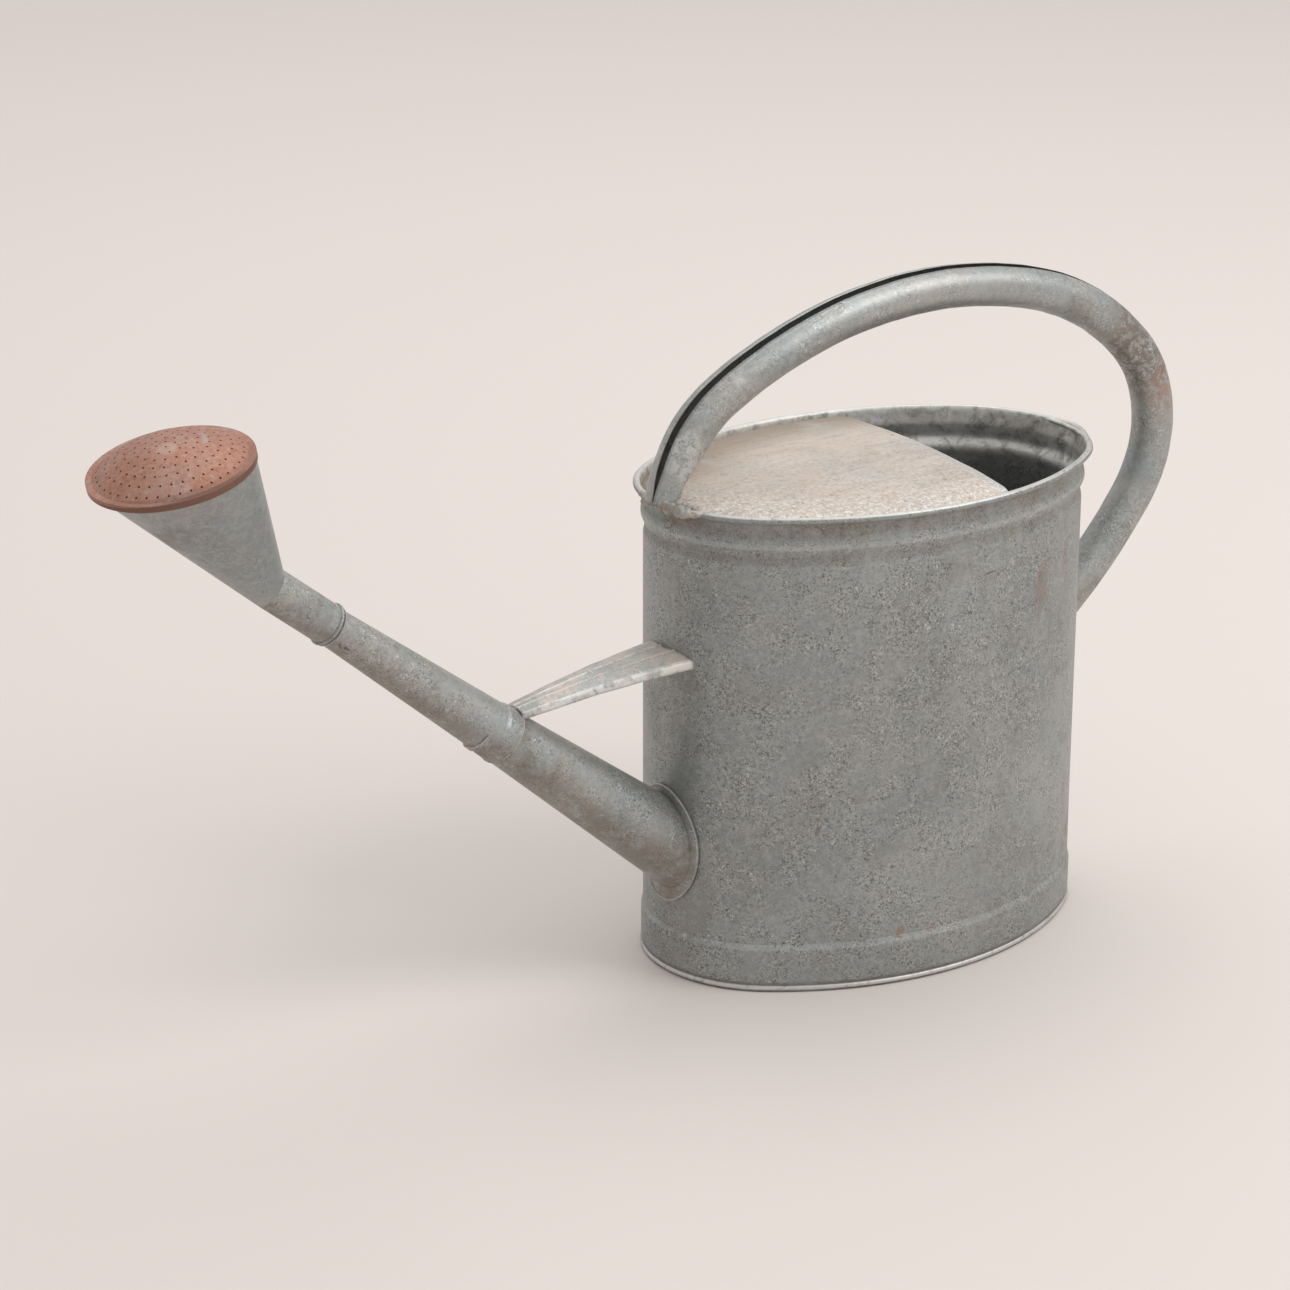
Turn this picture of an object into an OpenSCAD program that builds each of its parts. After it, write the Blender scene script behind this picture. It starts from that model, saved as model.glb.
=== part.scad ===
// Oval zinc watering can with a half cover, a rolled handle, a braced two-part spout and a pull-off copper rose.
// Frame: millimetres, Z up, origin on the floor under the middle of the oval body, spout toward -X, near side -Y.

/* [Body] */

// Height of the body from the floor to the top of the rim
body_height = 300; // [240:1:380]
// Half the length of the oval body, wall outside
body_half_length = 148; // [123:1:178]
// Half the width of the oval body, wall outside
body_half_width = 100; // [83:1:120]
// Thickness of the zinc sheet
sheet = 0.7; // [0.6:0.05:0.9]

/* [Rim and bead] */

// How far the rolled rim stands out from the wall
rim_overhang = 6.0; // [5.2:0.1:7]
// Radius of the wire inside the rolled rim
rim_wire_radius = 1.5; // [1.2:0.1:1.8]
// Depth of the narrow part between rim and bead, below the rim top
cove_drop = 11; // [10:0.5:13]
// Depth of the crest of the bead below the rim top
bead_drop = 19.5; // [17:0.5:22]
// Depth of the groove under the bead below the rim top
groove_drop = 27.5; // [25:0.5:30]
// Depth where the wall becomes plain below the rim top
plain_drop = 34; // [32:0.5:40]
// How far the bead stands out
bead_out = 1.5; // [0.8:0.1:2]
// How far the groove goes in
groove_in = 1.0; // [0.4:0.1:1.3]

/* [Base] */

// Height of the foot band that laps the bottom of the wall
foot_height = 28; // [20:1:36]
// How far the rolled foot edge stands out from the wall
foot_overhang = 1.6; // [1.2:0.1:2.2]
// Height of the base panel above the floor
base_lift = 10; // [8:0.5:16]
// Width of the lap seam inside the back of the wall
seam_width = 7; // [5:0.5:10]

/* [Half cover] */

// Rise of the half cover above its edge
cover_rise = 7; // [4:0.5:10]
// Middle of the cover's free edge, forward or back of the body middle
cover_edge = 41; // [25:1:60]
// Skew of the cover's free edge
cover_skew = 4.5; // [0:0.5:8]
// Width of the folded hem under the free edge
hem_width = 7; // [4:0.5:10]

/* [Handle] */

// Radius of the rolled handle tube
handle_radius = 13.2; // [11:0.1:14.5]
// Lean of the handle where it leaves the front rim
handle_lean = 77.6; // [72:0.2:82]
// Bend radius just above the front rim
foot_bend = 88; // [80:1:96]
// Turn of the bend just above the front rim
foot_turn = 47.7; // [46:0.1:50]
// Bend radius of the long front run
front_bend = 308; // [290:1:325]
// Turn of the long front run
front_turn = 46; // [44:0.1:48]
// Bend radius over the crest
crest_bend = 174; // [160:1:185]
// Turn over the crest
crest_turn = 29.6; // [28:0.1:31]
// Bend radius at the back
back_bend = 78.3; // [72:0.1:84]
// Turn at the back
back_turn = 79.8; // [78:0.1:81]
// Bend radius of the tail that runs in to the wall
tail_bend = 343; // [320:1:370]
// Width of the open slit along the front run
slit_width = 3; // [1.5:0.1:4]

/* [Spout] */

// Height of the spout axis where it meets the front wall
spout_height = 85.3; // [75:0.5:100]
// Slope of the spout
spout_angle = 38.6; // [35:0.1:42]
// Radius of the lower spout at the wall
spout_root_radius = 23.54; // [20.5:0.1:27]
// Distance along the spout to the joint of its two parts
spout_joint = 157; // [140:1:180]
// Radius of the spout at that joint
joint_radius = 16.1; // [14.2:0.1:18]
// Length of the sleeve of the upper part over the lower part
sleeve_length = 10; // [7:0.5:14]
// Distance along the spout to its tip
spout_length = 325; // [300:1:360]
// Radius of the spout at its tip
tip_radius = 9.97; // [9:0.1:11.5]
// Half width of the collar where the spout meets the wall
collar_half_width = 28; // [26:0.5:32]
// Half height of the collar
collar_half_height = 36.5; // [34:0.5:42]
// Thickness of the collar
collar_thickness = 1.3; // [0.8:0.1:1.8]

/* [Brace] */

// Distance along the spout to the end of the brace
brace_reach = 150; // [120:1:152]
// Height of the brace where it meets the wall
brace_height = 208.5; // [195:0.5:222]
// Half width of the brace at the wall
brace_wall_half = 22; // [16:0.5:26]
// Half width of the brace at the spout
brace_spout_half = 8.5; // [6:0.5:10]
// Depth of the turned-down edges of the brace
brace_lip = 4.5; // [3:0.5:7]
// Upward bow of the brace
brace_bow = 1.5; // [1:0.5:4]

/* [Rose] */

// Distance along the spout to the mouth of the rose socket
socket_mouth = 291; // [285:1:300]
// Length of the rose socket
socket_length = 47; // [40:1:60]
// Radius clearance of the socket on the spout
socket_clearance = 0.05; // [0.03:0.01:0.1]
// Wall of the socket
socket_wall = 0.8; // [0.6:0.05:1]
// Radius of the rolled bead at the socket mouth
socket_bead = 1.1; // [0.8:0.1:1.5]
// Radius of the copper face over its rolled edge
face_radius = 46.2; // [40:0.5:54]
// Distance from the end of the socket to the middle of the face
face_distance = 97.6; // [88:0.5:115]
// Direction from the socket end to the middle of the face, above level
face_direction = 54; // [50:0.5:58]
// Tilt of the face away from level
face_tilt = 12.4; // [8:0.2:16]
// Rise of the domed face
dome_rise = 14.8; // [10:0.2:18]
// Width of the flat border round the dome
face_border = 2.7; // [2:0.1:4]
// Depth of the rolled edge of the face
face_skirt = 3; // [2:0.25:5]
// Copper sheet thickness
copper_sheet = 0.6; // [0.5:0.05:0.8]
// Twist of the rose on the spout
rose_twist = 6; // [0:1:10]
// Distance from ring to ring of the holes
hole_pitch = 5.7; // [5.2:0.1:6.5]
// Radius of each hole
hole_radius = 0.65; // [0.5:0.05:0.9]
// Rings of holes
hole_rings = 7; // [4:1:7]

/* [Hidden] */

$fn = 96;

zinc = [0.56, 0.57, 0.56];
copper = [0.74, 0.43, 0.33];

// Oval of two end arcs and two side arcs, whose centres stand on a 3-4-5 triangle so that the arcs meet exactly
oval_unit = (body_half_length - body_half_width) / 2;
end_centre = 3 * oval_unit;
side_centre = 4 * oval_unit;
end_radius = body_half_length - end_centre;
side_radius = end_radius + 5 * oval_unit;
join_angle = atan2(4, 3);

// Rolled edges
curl_radius = rim_wire_radius + sheet;
curl_out = rim_overhang - curl_radius;
curl_height = body_height - curl_radius;
foot_curl = 2.2;
foot_flat = 0.2;
wall_bottom = 2 * foot_curl - foot_flat;

// Cover
cover_edge_height = body_height - 3;
flare_low = 0.3;
flare_high = curl_out - curl_radius + sheet;
function flare_at(z) = flare_low + (flare_high - flare_low)
                       * (z - (body_height - cove_drop)) / (curl_height - (body_height - cove_drop));
edge_out = flare_at(cover_edge_height) - sheet;
cover_round_y = (pow(body_half_width + edge_out, 2) + pow(cover_rise, 2)) / (2 * cover_rise);
cover_round_x = (pow(body_half_length + edge_out, 2) + pow(cover_rise, 2)) / (2 * cover_rise);

// Handle bends as [radius, turn]
handle_scale = body_half_length / 148;
bends = [[foot_bend * handle_scale, foot_turn],
         [front_bend * handle_scale, front_turn],
         [crest_bend * handle_scale, crest_turn],
         [back_bend * handle_scale, back_turn],
         [tail_bend * handle_scale, 30]];
handle_sheet = 0.8;

// Spout
function lower_radius(t) = spout_root_radius + (joint_radius - spout_root_radius) * t / spout_joint;
function upper_radius(t) = joint_radius + (tip_radius - joint_radius) * (t - spout_joint)
                           / (spout_length - spout_joint);
sleeve_start = spout_joint - sleeve_length;

// Brace in the middle plane
brace_foot = [-body_half_length - brace_reach * cos(spout_angle) + lower_radius(brace_reach) * sin(spout_angle),
              spout_height + brace_reach * sin(spout_angle) + lower_radius(brace_reach) * cos(spout_angle)];
brace_head = [-body_half_length, brace_height];
brace_chord = norm(brace_head - brace_foot);
brace_slope = atan2(brace_head[1] - brace_foot[1], brace_head[0] - brace_foot[0]);
brace_round = (pow(brace_chord / 2, 2) + pow(brace_bow, 2)) / (2 * brace_bow);

// Rose
socket_inner = upper_radius(socket_mouth) + socket_clearance;
socket_outer = socket_inner + socket_wall;
socket_end = socket_mouth + socket_length;
face_middle = [face_distance * -cos(face_direction), face_distance * sin(face_direction)];
cone_rim = face_radius - 1.0;
dome_base = face_radius - face_border;
dome_round = (pow(dome_base, 2) + pow(dome_rise, 2)) / (2 * dome_rise);

// Sweeps a profile along one arc, in two laps that share the arc's circle, so that both its ends are exact
module arc_sweep(radius, from, to) {
  share = (to - from) * 0.6;
  rotate([0, 0, from]) rotate_extrude(start = 0, angle = share) translate([radius, 0]) children();
  rotate([0, 0, to]) rotate_extrude(start = -share, angle = share) translate([radius, 0]) children();
}

// Sweeps a profile round the oval; its x counts outward from the wall outside
module around_oval() {
  translate([end_centre, 0, 0]) arc_sweep(end_radius, -join_angle, join_angle) children();
  translate([0, -side_centre, 0]) arc_sweep(side_radius, join_angle, 180 - join_angle) children();
  translate([-end_centre, 0, 0]) arc_sweep(end_radius, 180 - join_angle, 180 + join_angle) children();
  translate([0, side_centre, 0]) arc_sweep(side_radius, 180 + join_angle, 360 - join_angle) children();
}

// Flat oval, grown outward
module oval(grow) {
  half = end_centre + (end_radius + grow) * cos(join_angle);
  for (s = [-1, 1]) translate([s * end_centre, 0]) circle(end_radius + grow);
  intersection() {
    translate([0, -side_centre]) circle(side_radius + grow);
    translate([0, side_centre]) circle(side_radius + grow);
    square([2 * half, 4 * body_half_width], center = true);
  }
}

module oval_block(grow, low, high) {
  translate([0, 0, low]) linear_extrude(high - low) oval(grow);
}

// Moves a part built along Z onto the spout axis
module on_spout() {
  translate([-body_half_length, 0, spout_height]) rotate([0, spout_angle - 90, 0]) children();
}

// Moves a part from the socket end onto the spout, twisted with the rose
module on_rose() {
  on_spout() rotate([0, 0, -rose_twist]) translate([0, 0, socket_end]) rotate([0, 90 - spout_angle, 0])
    children();
}

module tube_section(from, to, outer_from, outer_to, wall) {
  polygon([[outer_from - wall, from], [outer_from, from], [outer_to, to], [outer_to - wall, to]]);
}

// Wall outline from the plain wall up to the rim, as [out, height]
steps = 4;
function ease(a, b) = [for (i = [0 : steps - 1]) [a[0] + (b[0] - a[0]) * (1 - cos(180 * i / steps)) / 2,
                                                  a[1] + (b[1] - a[1]) * i / steps]];
plain_end = [0, body_height - plain_drop];
groove = [-groove_in, body_height - groove_drop];
crest = [bead_out, body_height - bead_drop];
cove = [flare_low, body_height - cove_drop];
wall_line = concat([[0, wall_bottom]], ease(plain_end, groove), ease(groove, crest), ease(crest, cove),
                   [cove, [flare_high, curl_height]]);

module body_shell() {
  color(zinc) difference() {
    union() {
      around_oval() {
        polygon(concat(wall_line, [for (i = [len(wall_line) - 1 : -1 : 0]) wall_line[i] - [sheet, 0]]));
        translate([curl_out, curl_height]) difference() {
          circle(curl_radius);
          circle(rim_wire_radius);
        }
      }
      translate([body_half_length - 3 * sheet, -seam_width / 2, base_lift + 2])
        cube([2.4 * sheet, seam_width, body_height - plain_drop - base_lift - 6]);
    }
    on_spout() translate([0, 0, -60])
      cylinder(h = 100, r1 = lower_radius(-60) - sheet, r2 = lower_radius(40) - sheet);
  }
}

module rim_wire() {
  color(zinc) around_oval() translate([curl_out, curl_height]) circle(rim_wire_radius);
}

module foot_ring() {
  color(zinc) difference() {
    around_oval() {
      translate([0, foot_curl - foot_flat + 1.7]) square([sheet, foot_height - foot_curl + foot_flat - 1.7]);
      translate([foot_overhang - foot_curl, foot_curl - foot_flat]) difference() {
        circle(foot_curl);
        circle(foot_curl - sheet);
      }
    }
    translate([-250, -200, -20]) cube([500, 400, 20]);
  }
}

module base_panel() {
  color(zinc) {
    oval_block(-1.5 * sheet, base_lift, base_lift + sheet);
    around_oval() translate([-2 * sheet, wall_bottom]) square([sheet, base_lift + sheet - wall_bottom]);
  }
}

// Domed sheet between two depths under the top of the cover
module cover_sheet(top, bottom) {
  translate([0, 0, cover_edge_height + cover_rise - cover_round_x]) rotate([90, 0, 0])
    rotate_extrude(start = 80, angle = 20) intersection() {
      translate([cover_round_x - cover_round_y, 0]) difference() {
        circle(cover_round_y - top);
        circle(cover_round_y - bottom);
      }
      translate([cover_round_x - 60, -body_half_width - 10]) square([61, 2 * body_half_width + 20]);
    }
}

// Everything forward of the cover's free edge
module before_edge(back) {
  translate([cover_edge - back, 0, cover_edge_height]) rotate([0, 0, -cover_skew])
    translate([-500, -250, -60]) cube([500, 500, 120]);
}

module half_cover() {
  flange_low = body_height - cove_drop + 1;
  color(zinc) {
    intersection() {
      cover_sheet(0, sheet);
      oval_block(edge_out - sheet / 2, flange_low, body_height + cover_rise);
      before_edge(0);
    }
    intersection() {
      around_oval() polygon([[flare_at(flange_low) - 2 * sheet, flange_low], [flare_at(flange_low) - sheet, flange_low],
                             [edge_out, cover_edge_height], [edge_out - sheet, cover_edge_height]]);
      before_edge(0);
    }
    difference() {
      intersection() {
        cover_sheet(sheet, 2 * sheet);
        oval_block(edge_out - 1.5 * sheet, flange_low, body_height + cover_rise);
        before_edge(0);
      }
      before_edge(hem_width);
    }
  }
}

// Places a part at the start of a bend, heading along X
module at_bend(i) {
  if (i == 0) children();
  else at_bend(i - 1)
    translate([bends[i - 1][0] * sin(bends[i - 1][1]), 0, -bends[i - 1][0] * (1 - cos(bends[i - 1][1]))])
      rotate([0, bends[i - 1][1], 0]) children();
}

// Sweeps a section along one bend, carried a little past its ends
module bent(i, past) {
  radius = bends[i][0];
  turn = bends[i][1];
  translate([0, 0, -radius]) rotate([90, 0, 0])
    rotate_extrude(start = 90 - turn - past, angle = turn + 2 * past) translate([radius, 0]) children();
}

// Solid rod along the whole handle, with a hair-thick band over each join that fuses the bends
module handle_rod(radius, foot) {
  for (i = [0 : len(bends) - 1]) at_bend(i) {
    bent(i, 0) circle(radius);
    rotate([0, 90, 0]) cylinder(h = 0.6, r = radius + 0.02, center = true);
  }
  rotate([0, -90, 0]) cylinder(h = foot, r = radius);
}

module slit_section() {
  translate([handle_radius - 2, -slit_width / 2]) square([4, slit_width]);
}

module handle() {
  color(zinc) difference() {
    translate([-body_half_length - 0.5, 0, body_height + 0.3]) rotate([0, -handle_lean, 0]) difference() {
      handle_rod(handle_radius, 8);
      handle_rod(handle_radius - handle_sheet, 9);
      for (i = [0 : 2]) at_bend(i) bent(i, 0.05) slit_section();
      rotate([0, -90, 0]) translate([0, 0, -0.1]) linear_extrude(10) slit_section();
    }
    oval_block(rim_overhang, body_height - 20, body_height);
    oval_block(0, 0, body_height - 19);
  }
}

module lower_solid(from, to, grow) {
  on_spout() translate([0, 0, from])
    cylinder(h = to - from, r1 = lower_radius(from) + grow, r2 = lower_radius(to) + grow);
}

module spout_lower() {
  color(zinc) difference() {
    on_spout() rotate_extrude() tube_section(-60, spout_joint, lower_radius(-60), joint_radius, sheet);
    oval_block(0, 0, body_height);
  }
}

module spout_upper() {
  shoulder = spout_joint + 2;
  color(zinc) on_spout() rotate_extrude() polygon([
    [lower_radius(sleeve_start), sleeve_start], [lower_radius(sleeve_start) + sheet, sleeve_start],
    [joint_radius + sheet, spout_joint], [upper_radius(shoulder), shoulder],
    [tip_radius, spout_length], [tip_radius - sheet, spout_length],
    [upper_radius(shoulder) - sheet, shoulder], [joint_radius - sheet, spout_joint], [joint_radius, spout_joint]]);
}

module spout_collar() {
  color(zinc) difference() {
    intersection() {
      around_oval() translate([0, foot_height + 2]) square([collar_thickness, body_height / 2]);
      translate([0, 0, spout_height - 1.5]) rotate([0, -90, 0]) linear_extrude(2 * body_half_length)
        polygon([for (i = [0 : 5 : 355]) [collar_half_height * cos(i), collar_half_width * sin(i)]]);
    }
    lower_solid(-60, 60, 0);
  }
}

module brace_plan(inset) {
  reach = 8;
  grow = (brace_wall_half - brace_spout_half) * reach / (brace_head[0] - brace_foot[0]);
  polygon([[brace_foot[0] - reach, brace_spout_half - grow - inset], [brace_head[0] + reach, brace_wall_half + grow - inset],
           [brace_head[0] + reach, -brace_wall_half - grow + inset], [brace_foot[0] - reach, -brace_spout_half + grow + inset]]);
}

module brace_band(depth) {
  translate([brace_foot[0], 0, brace_foot[1]]) rotate([0, -brace_slope, 0])
    translate([brace_chord / 2, 0, brace_bow - brace_round]) rotate([90, 0, 0])
      linear_extrude(80, center = true) difference() {
        circle(brace_round);
        circle(brace_round - depth);
        translate([-2 * brace_round, -3 * brace_round]) square([4 * brace_round, 3 * brace_round]);
      }
}

module spout_brace() {
  color(zinc) difference() {
    union() {
      intersection() {
        brace_band(sheet);
        translate([0, 0, 100]) linear_extrude(body_height) brace_plan(0);
      }
      intersection() {
        brace_band(brace_lip);
        translate([0, 0, 100]) linear_extrude(body_height) difference() {
          brace_plan(0);
          brace_plan(sheet);
        }
      }
    }
    oval_block(0, 0, body_height);
    lower_solid(60, spout_joint, 0);
    lower_solid(sleeve_start, spout_joint + 20, sheet);
  }
}

module rose_socket() {
  color(zinc) on_spout() rotate([0, 0, -rose_twist]) rotate_extrude() {
    tube_section(socket_mouth, socket_end, socket_outer, socket_outer, socket_wall);
    intersection() {
      translate([socket_outer, socket_mouth + socket_bead]) circle(socket_bead);
      translate([socket_outer - socket_wall / 2, socket_mouth]) square(3 * socket_bead);
    }
  }
}

module in_face() {
  translate([face_middle[0], 0, face_middle[1]]) rotate([0, -face_tilt, 0]) children();
}

// Skin from the round end of the socket to the round edge of the face
module cone_solid(small, large, past) {
  hull() {
    rotate([0, spout_angle - 90, 0]) translate([0, 0, -past]) cylinder(h = 0.01, r = small);
    in_face() translate([0, 0, past - 0.01]) cylinder(h = 0.01, r = large);
  }
}

module rose_cone() {
  color(zinc) on_rose() difference() {
    cone_solid(socket_outer, cone_rim, 0);
    cone_solid(socket_inner, cone_rim - 1.1 * sheet, 0.01);
  }
}

module rose_face() {
  color(copper) on_rose() in_face() difference() {
    union() {
      intersection() {
        translate([0, 0, dome_rise - dome_round]) difference() {
          sphere(dome_round);
          sphere(dome_round - copper_sheet);
        }
        translate([-100, -100, 0]) cube(200);
      }
      rotate_extrude() {
        inner = sqrt(pow(dome_round - copper_sheet, 2) - pow(dome_round - dome_rise, 2));
        translate([inner, 0]) square([face_radius - inner, copper_sheet]);
        translate([cone_rim + 0.05, -face_skirt]) square([face_radius - cone_rim - 0.05, face_skirt + copper_sheet]);
      }
    }
    cylinder(h = 100, r = hole_radius);
    for (ring = [1 : hole_rings]) for (i = [1 : 6 * ring])
      rotate([0, 0, i * 60 / ring + 8 * ring]) translate([ring * hole_pitch, 0, 0]) cylinder(h = 100, r = hole_radius);
  }
}

body_shell();
rim_wire();
foot_ring();
base_panel();
half_cover();
handle();
spout_lower();
spout_upper();
spout_collar();
spout_brace();
rose_socket();
rose_cone();
rose_face();
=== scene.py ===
"""Looks of the oval zinc watering can: every visible surface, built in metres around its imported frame."""

import math

import bmesh
import bpy
from bpy.props import FloatProperty, FloatVectorProperty, PointerProperty
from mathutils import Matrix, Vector, noise


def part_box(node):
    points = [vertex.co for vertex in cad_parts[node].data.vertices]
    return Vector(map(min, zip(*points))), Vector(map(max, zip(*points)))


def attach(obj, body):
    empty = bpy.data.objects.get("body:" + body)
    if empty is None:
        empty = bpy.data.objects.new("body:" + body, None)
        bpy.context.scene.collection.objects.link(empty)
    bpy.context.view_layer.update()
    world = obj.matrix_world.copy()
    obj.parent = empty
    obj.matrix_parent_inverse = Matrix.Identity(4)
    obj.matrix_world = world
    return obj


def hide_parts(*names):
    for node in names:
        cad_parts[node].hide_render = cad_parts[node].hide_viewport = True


bl_info = {
    "name": "Weathered Watering Can",
    "version": (1, 0, 0),
    "blender": (4, 5, 0),
    "location": "View3D > Sidebar > Watering Can",
    "description": "Builds the looks of an oval zinc watering can around its frame",
    "category": "Object",
}

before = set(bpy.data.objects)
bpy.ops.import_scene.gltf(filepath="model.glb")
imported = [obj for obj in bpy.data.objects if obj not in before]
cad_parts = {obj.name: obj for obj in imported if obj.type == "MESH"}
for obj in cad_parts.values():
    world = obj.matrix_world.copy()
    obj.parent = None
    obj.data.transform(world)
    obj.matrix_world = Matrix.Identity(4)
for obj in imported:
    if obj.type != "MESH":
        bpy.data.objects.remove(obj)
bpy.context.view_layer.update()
MM = 0.001
# tilt of the spray face from level, and the middle of the small knock on its dome
FACE_TILT = math.radians(12.4)
KNOCK_ON_FACE = (-0.4747, -0.0100, 0.3847)
# distance along the spout to the mouth of the rose's socket
SOCKET_MOUTH = 289.5 * MM


# ---------------------------------------------------------------- settings


def sized(name, description, default):
    """A setting in metres."""
    return FloatProperty(name=name, description=description, unit="LENGTH", default=default)


def angled(name, description, degrees):
    """A setting that is an angle."""
    return FloatProperty(name=name, description=description, subtype="ANGLE",
                         default=math.radians(degrees))


def coloured(name, description, default):
    """A setting that is a colour."""
    return FloatVectorProperty(name=name, description=description, subtype="COLOR", min=0, max=1,
                               default=default)


class CanColours(bpy.types.PropertyGroup):
    """Colours of the finishes"""

    zinc_light: coloured("Light Zinc", "Paler zinc between the stains", (0.394, 0.416, 0.410))
    zinc_dark: coloured("Dark Zinc", "Duller, darker zinc", (0.246, 0.263, 0.259))
    # the oxide colour also paints highlights on the rim, the bead, the foot and the brace's ribs, and the
    # reflection inside the mouth
    oxide_and_highlight: coloured("White Oxide", "Pale bloom and flecks on the zinc", (0.66, 0.65, 0.62))
    # the grime colour also paints shade in the groove, under the rim, at the foot, under the spout, on the
    # cover's far flank, at the can's left end and on the handle's rear bend
    grime_and_shade: coloured("Grime", "Brown dirt in corners and under the rim", (0.150, 0.115, 0.080))
    rust: coloured("Rust", "Orange-brown rust specks", (0.300, 0.120, 0.040))
    dust: coloured("Dry Dirt", "Beige film on the half cover", (0.53, 0.44, 0.375))
    copper: coloured("Copper", "Pink-brown spray face", (0.40, 0.185, 0.125))
    copper_dull: coloured("Dull Copper", "Grey film on the copper", (0.42, 0.27, 0.22))


class BodySizes(bpy.types.PropertyGroup):
    """Sizes of the oval wall and its rim"""

    half_length: sized("Half Length", "Half the length of the oval wall", 0.148)
    half_width: sized("Half Width", "Half the width of the oval wall", 0.100)
    height: sized("Height", "Floor to the top of the rim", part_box("body_shell")[1].z)
    sheet: sized("Sheet", "Thickness of the zinc sheet", 0.0007)
    rim_overhang: sized("Rim Overhang", "How far the rolled rim stands out from the wall", 0.006)
    rim_radius: sized("Rim Radius", "Radius of the rolled rim", 0.0022)
    dent_depth: sized("Dent Depth", "Depth of the soft dents in the wall", 0.0015)
    dent_size: sized("Dent Size", "Breadth of the soft dents in the wall", 0.11)
    kink_depth: sized("Kink Depth", "How far the knocked corner of the rim is bent outward", 0.0035)
    kink_place: FloatVectorProperty(
        name="Kink Place", description="Where the rim was knocked",
        subtype="XYZ", default=(0.1500, -0.0120, 0.3000),
    )
    cover_edge: sized("Cover Edge", "Middle of the half cover's free edge", 0.041)
    cover_skew: angled("Cover Skew", "Turn of the half cover's free edge", 4.5)
    cover_rise: sized("Cover Rise", "Rise of the half cover's dome inside its flank", 0.0062)
    cover_drop: sized("Cover Drop", "Depth of the half cover's edge under the rim top", 0.0056)
    cover_flank: sized("Cover Flank", "Rise of the steep flank round the half cover", 0.0034)


class HandleSizes(bpy.types.PropertyGroup):
    """Sizes of the rolled handle tube"""

    radius: sized("Tube Radius", "Radius of the rolled tube", 0.0132)
    sheet: sized("Tube Sheet", "Thickness of the tube's sheet", 0.0008)
    lean: angled("Lean", "Lean of the handle where it leaves the rim", 77.6)
    slit: sized("Slit", "Widest opening of the seam along the top", 0.0042)
    seam_turn: angled("Seam Turn", "Turn of the open seam from the top toward the near side", 13)
    foot_pinch: FloatProperty(
        name="Foot Pinch", description="Share of the tube's front half left where it meets the rim",
        subtype="FACTOR", min=0.05, max=1, default=0.85,
    )
    foot_tuck: FloatProperty(
        name="Foot Tuck", description="Share of the tube's back half left where it meets the rim",
        subtype="FACTOR", min=0.05, max=1, default=0.30,
    )


class SpoutSizes(bpy.types.PropertyGroup):
    """Sizes of the two-part spout, its brace and the rose"""

    height: sized("Spout Height", "Height of the spout's axis at the wall", 0.0853)
    slope: angled("Spout Slope", "Slope of the spout above level", 38.6)
    root_radius: sized("Root Radius", "Radius of the spout at the wall", 0.02354)
    joint: sized("Joint", "Distance along the spout to the joint of its two parts", 0.157)
    joint_radius: sized("Joint Radius", "Radius of the spout at the joint", 0.0161)
    length: sized("Spout Length", "Distance along the spout to its tip", 0.325)
    tip_radius: sized("Tip Radius", "Radius of the spout at its tip", 0.00997)
    brace_reach: sized("Brace Reach", "Distance along the spout to the end of the brace", 0.150)
    brace_height: sized("Brace Height", "Height of the brace at the wall", 0.2085)


class StageSizes(bpy.types.PropertyGroup):
    """Floor, lamps and camera"""

    azimuth: FloatProperty(
        name="Camera Azimuth", description="Side from which the can is seen, in degrees",
        default=-34.5,
    )
    elevation: FloatProperty(
        name="Camera Elevation", description="Height of the view above level, in degrees",
        default=19.39,
    )
    distance: FloatProperty(
        name="Camera Distance", description="From the camera to the point it looks at",
        subtype="DISTANCE", unit="LENGTH", default=2.202,
    )
    target: FloatVectorProperty(
        name="Camera Target", description="Point that the camera looks at",
        subtype="XYZ", default=(-0.1602, 0.0035, 0.2111),
    )
    lens: FloatProperty(
        name="Lens", description="Focal length in millimetres on a 36 mm sensor",
        default=104.02,
    )
    floor_colour: coloured("Floor Colour", "Colour of the pale floor", (0.73, 0.665, 0.63))


# ---------------------------------------------------------------- materials


def toned(colour, share):
    """A darker or paler tone of a colour."""
    return [share * part for part in colour]


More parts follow.
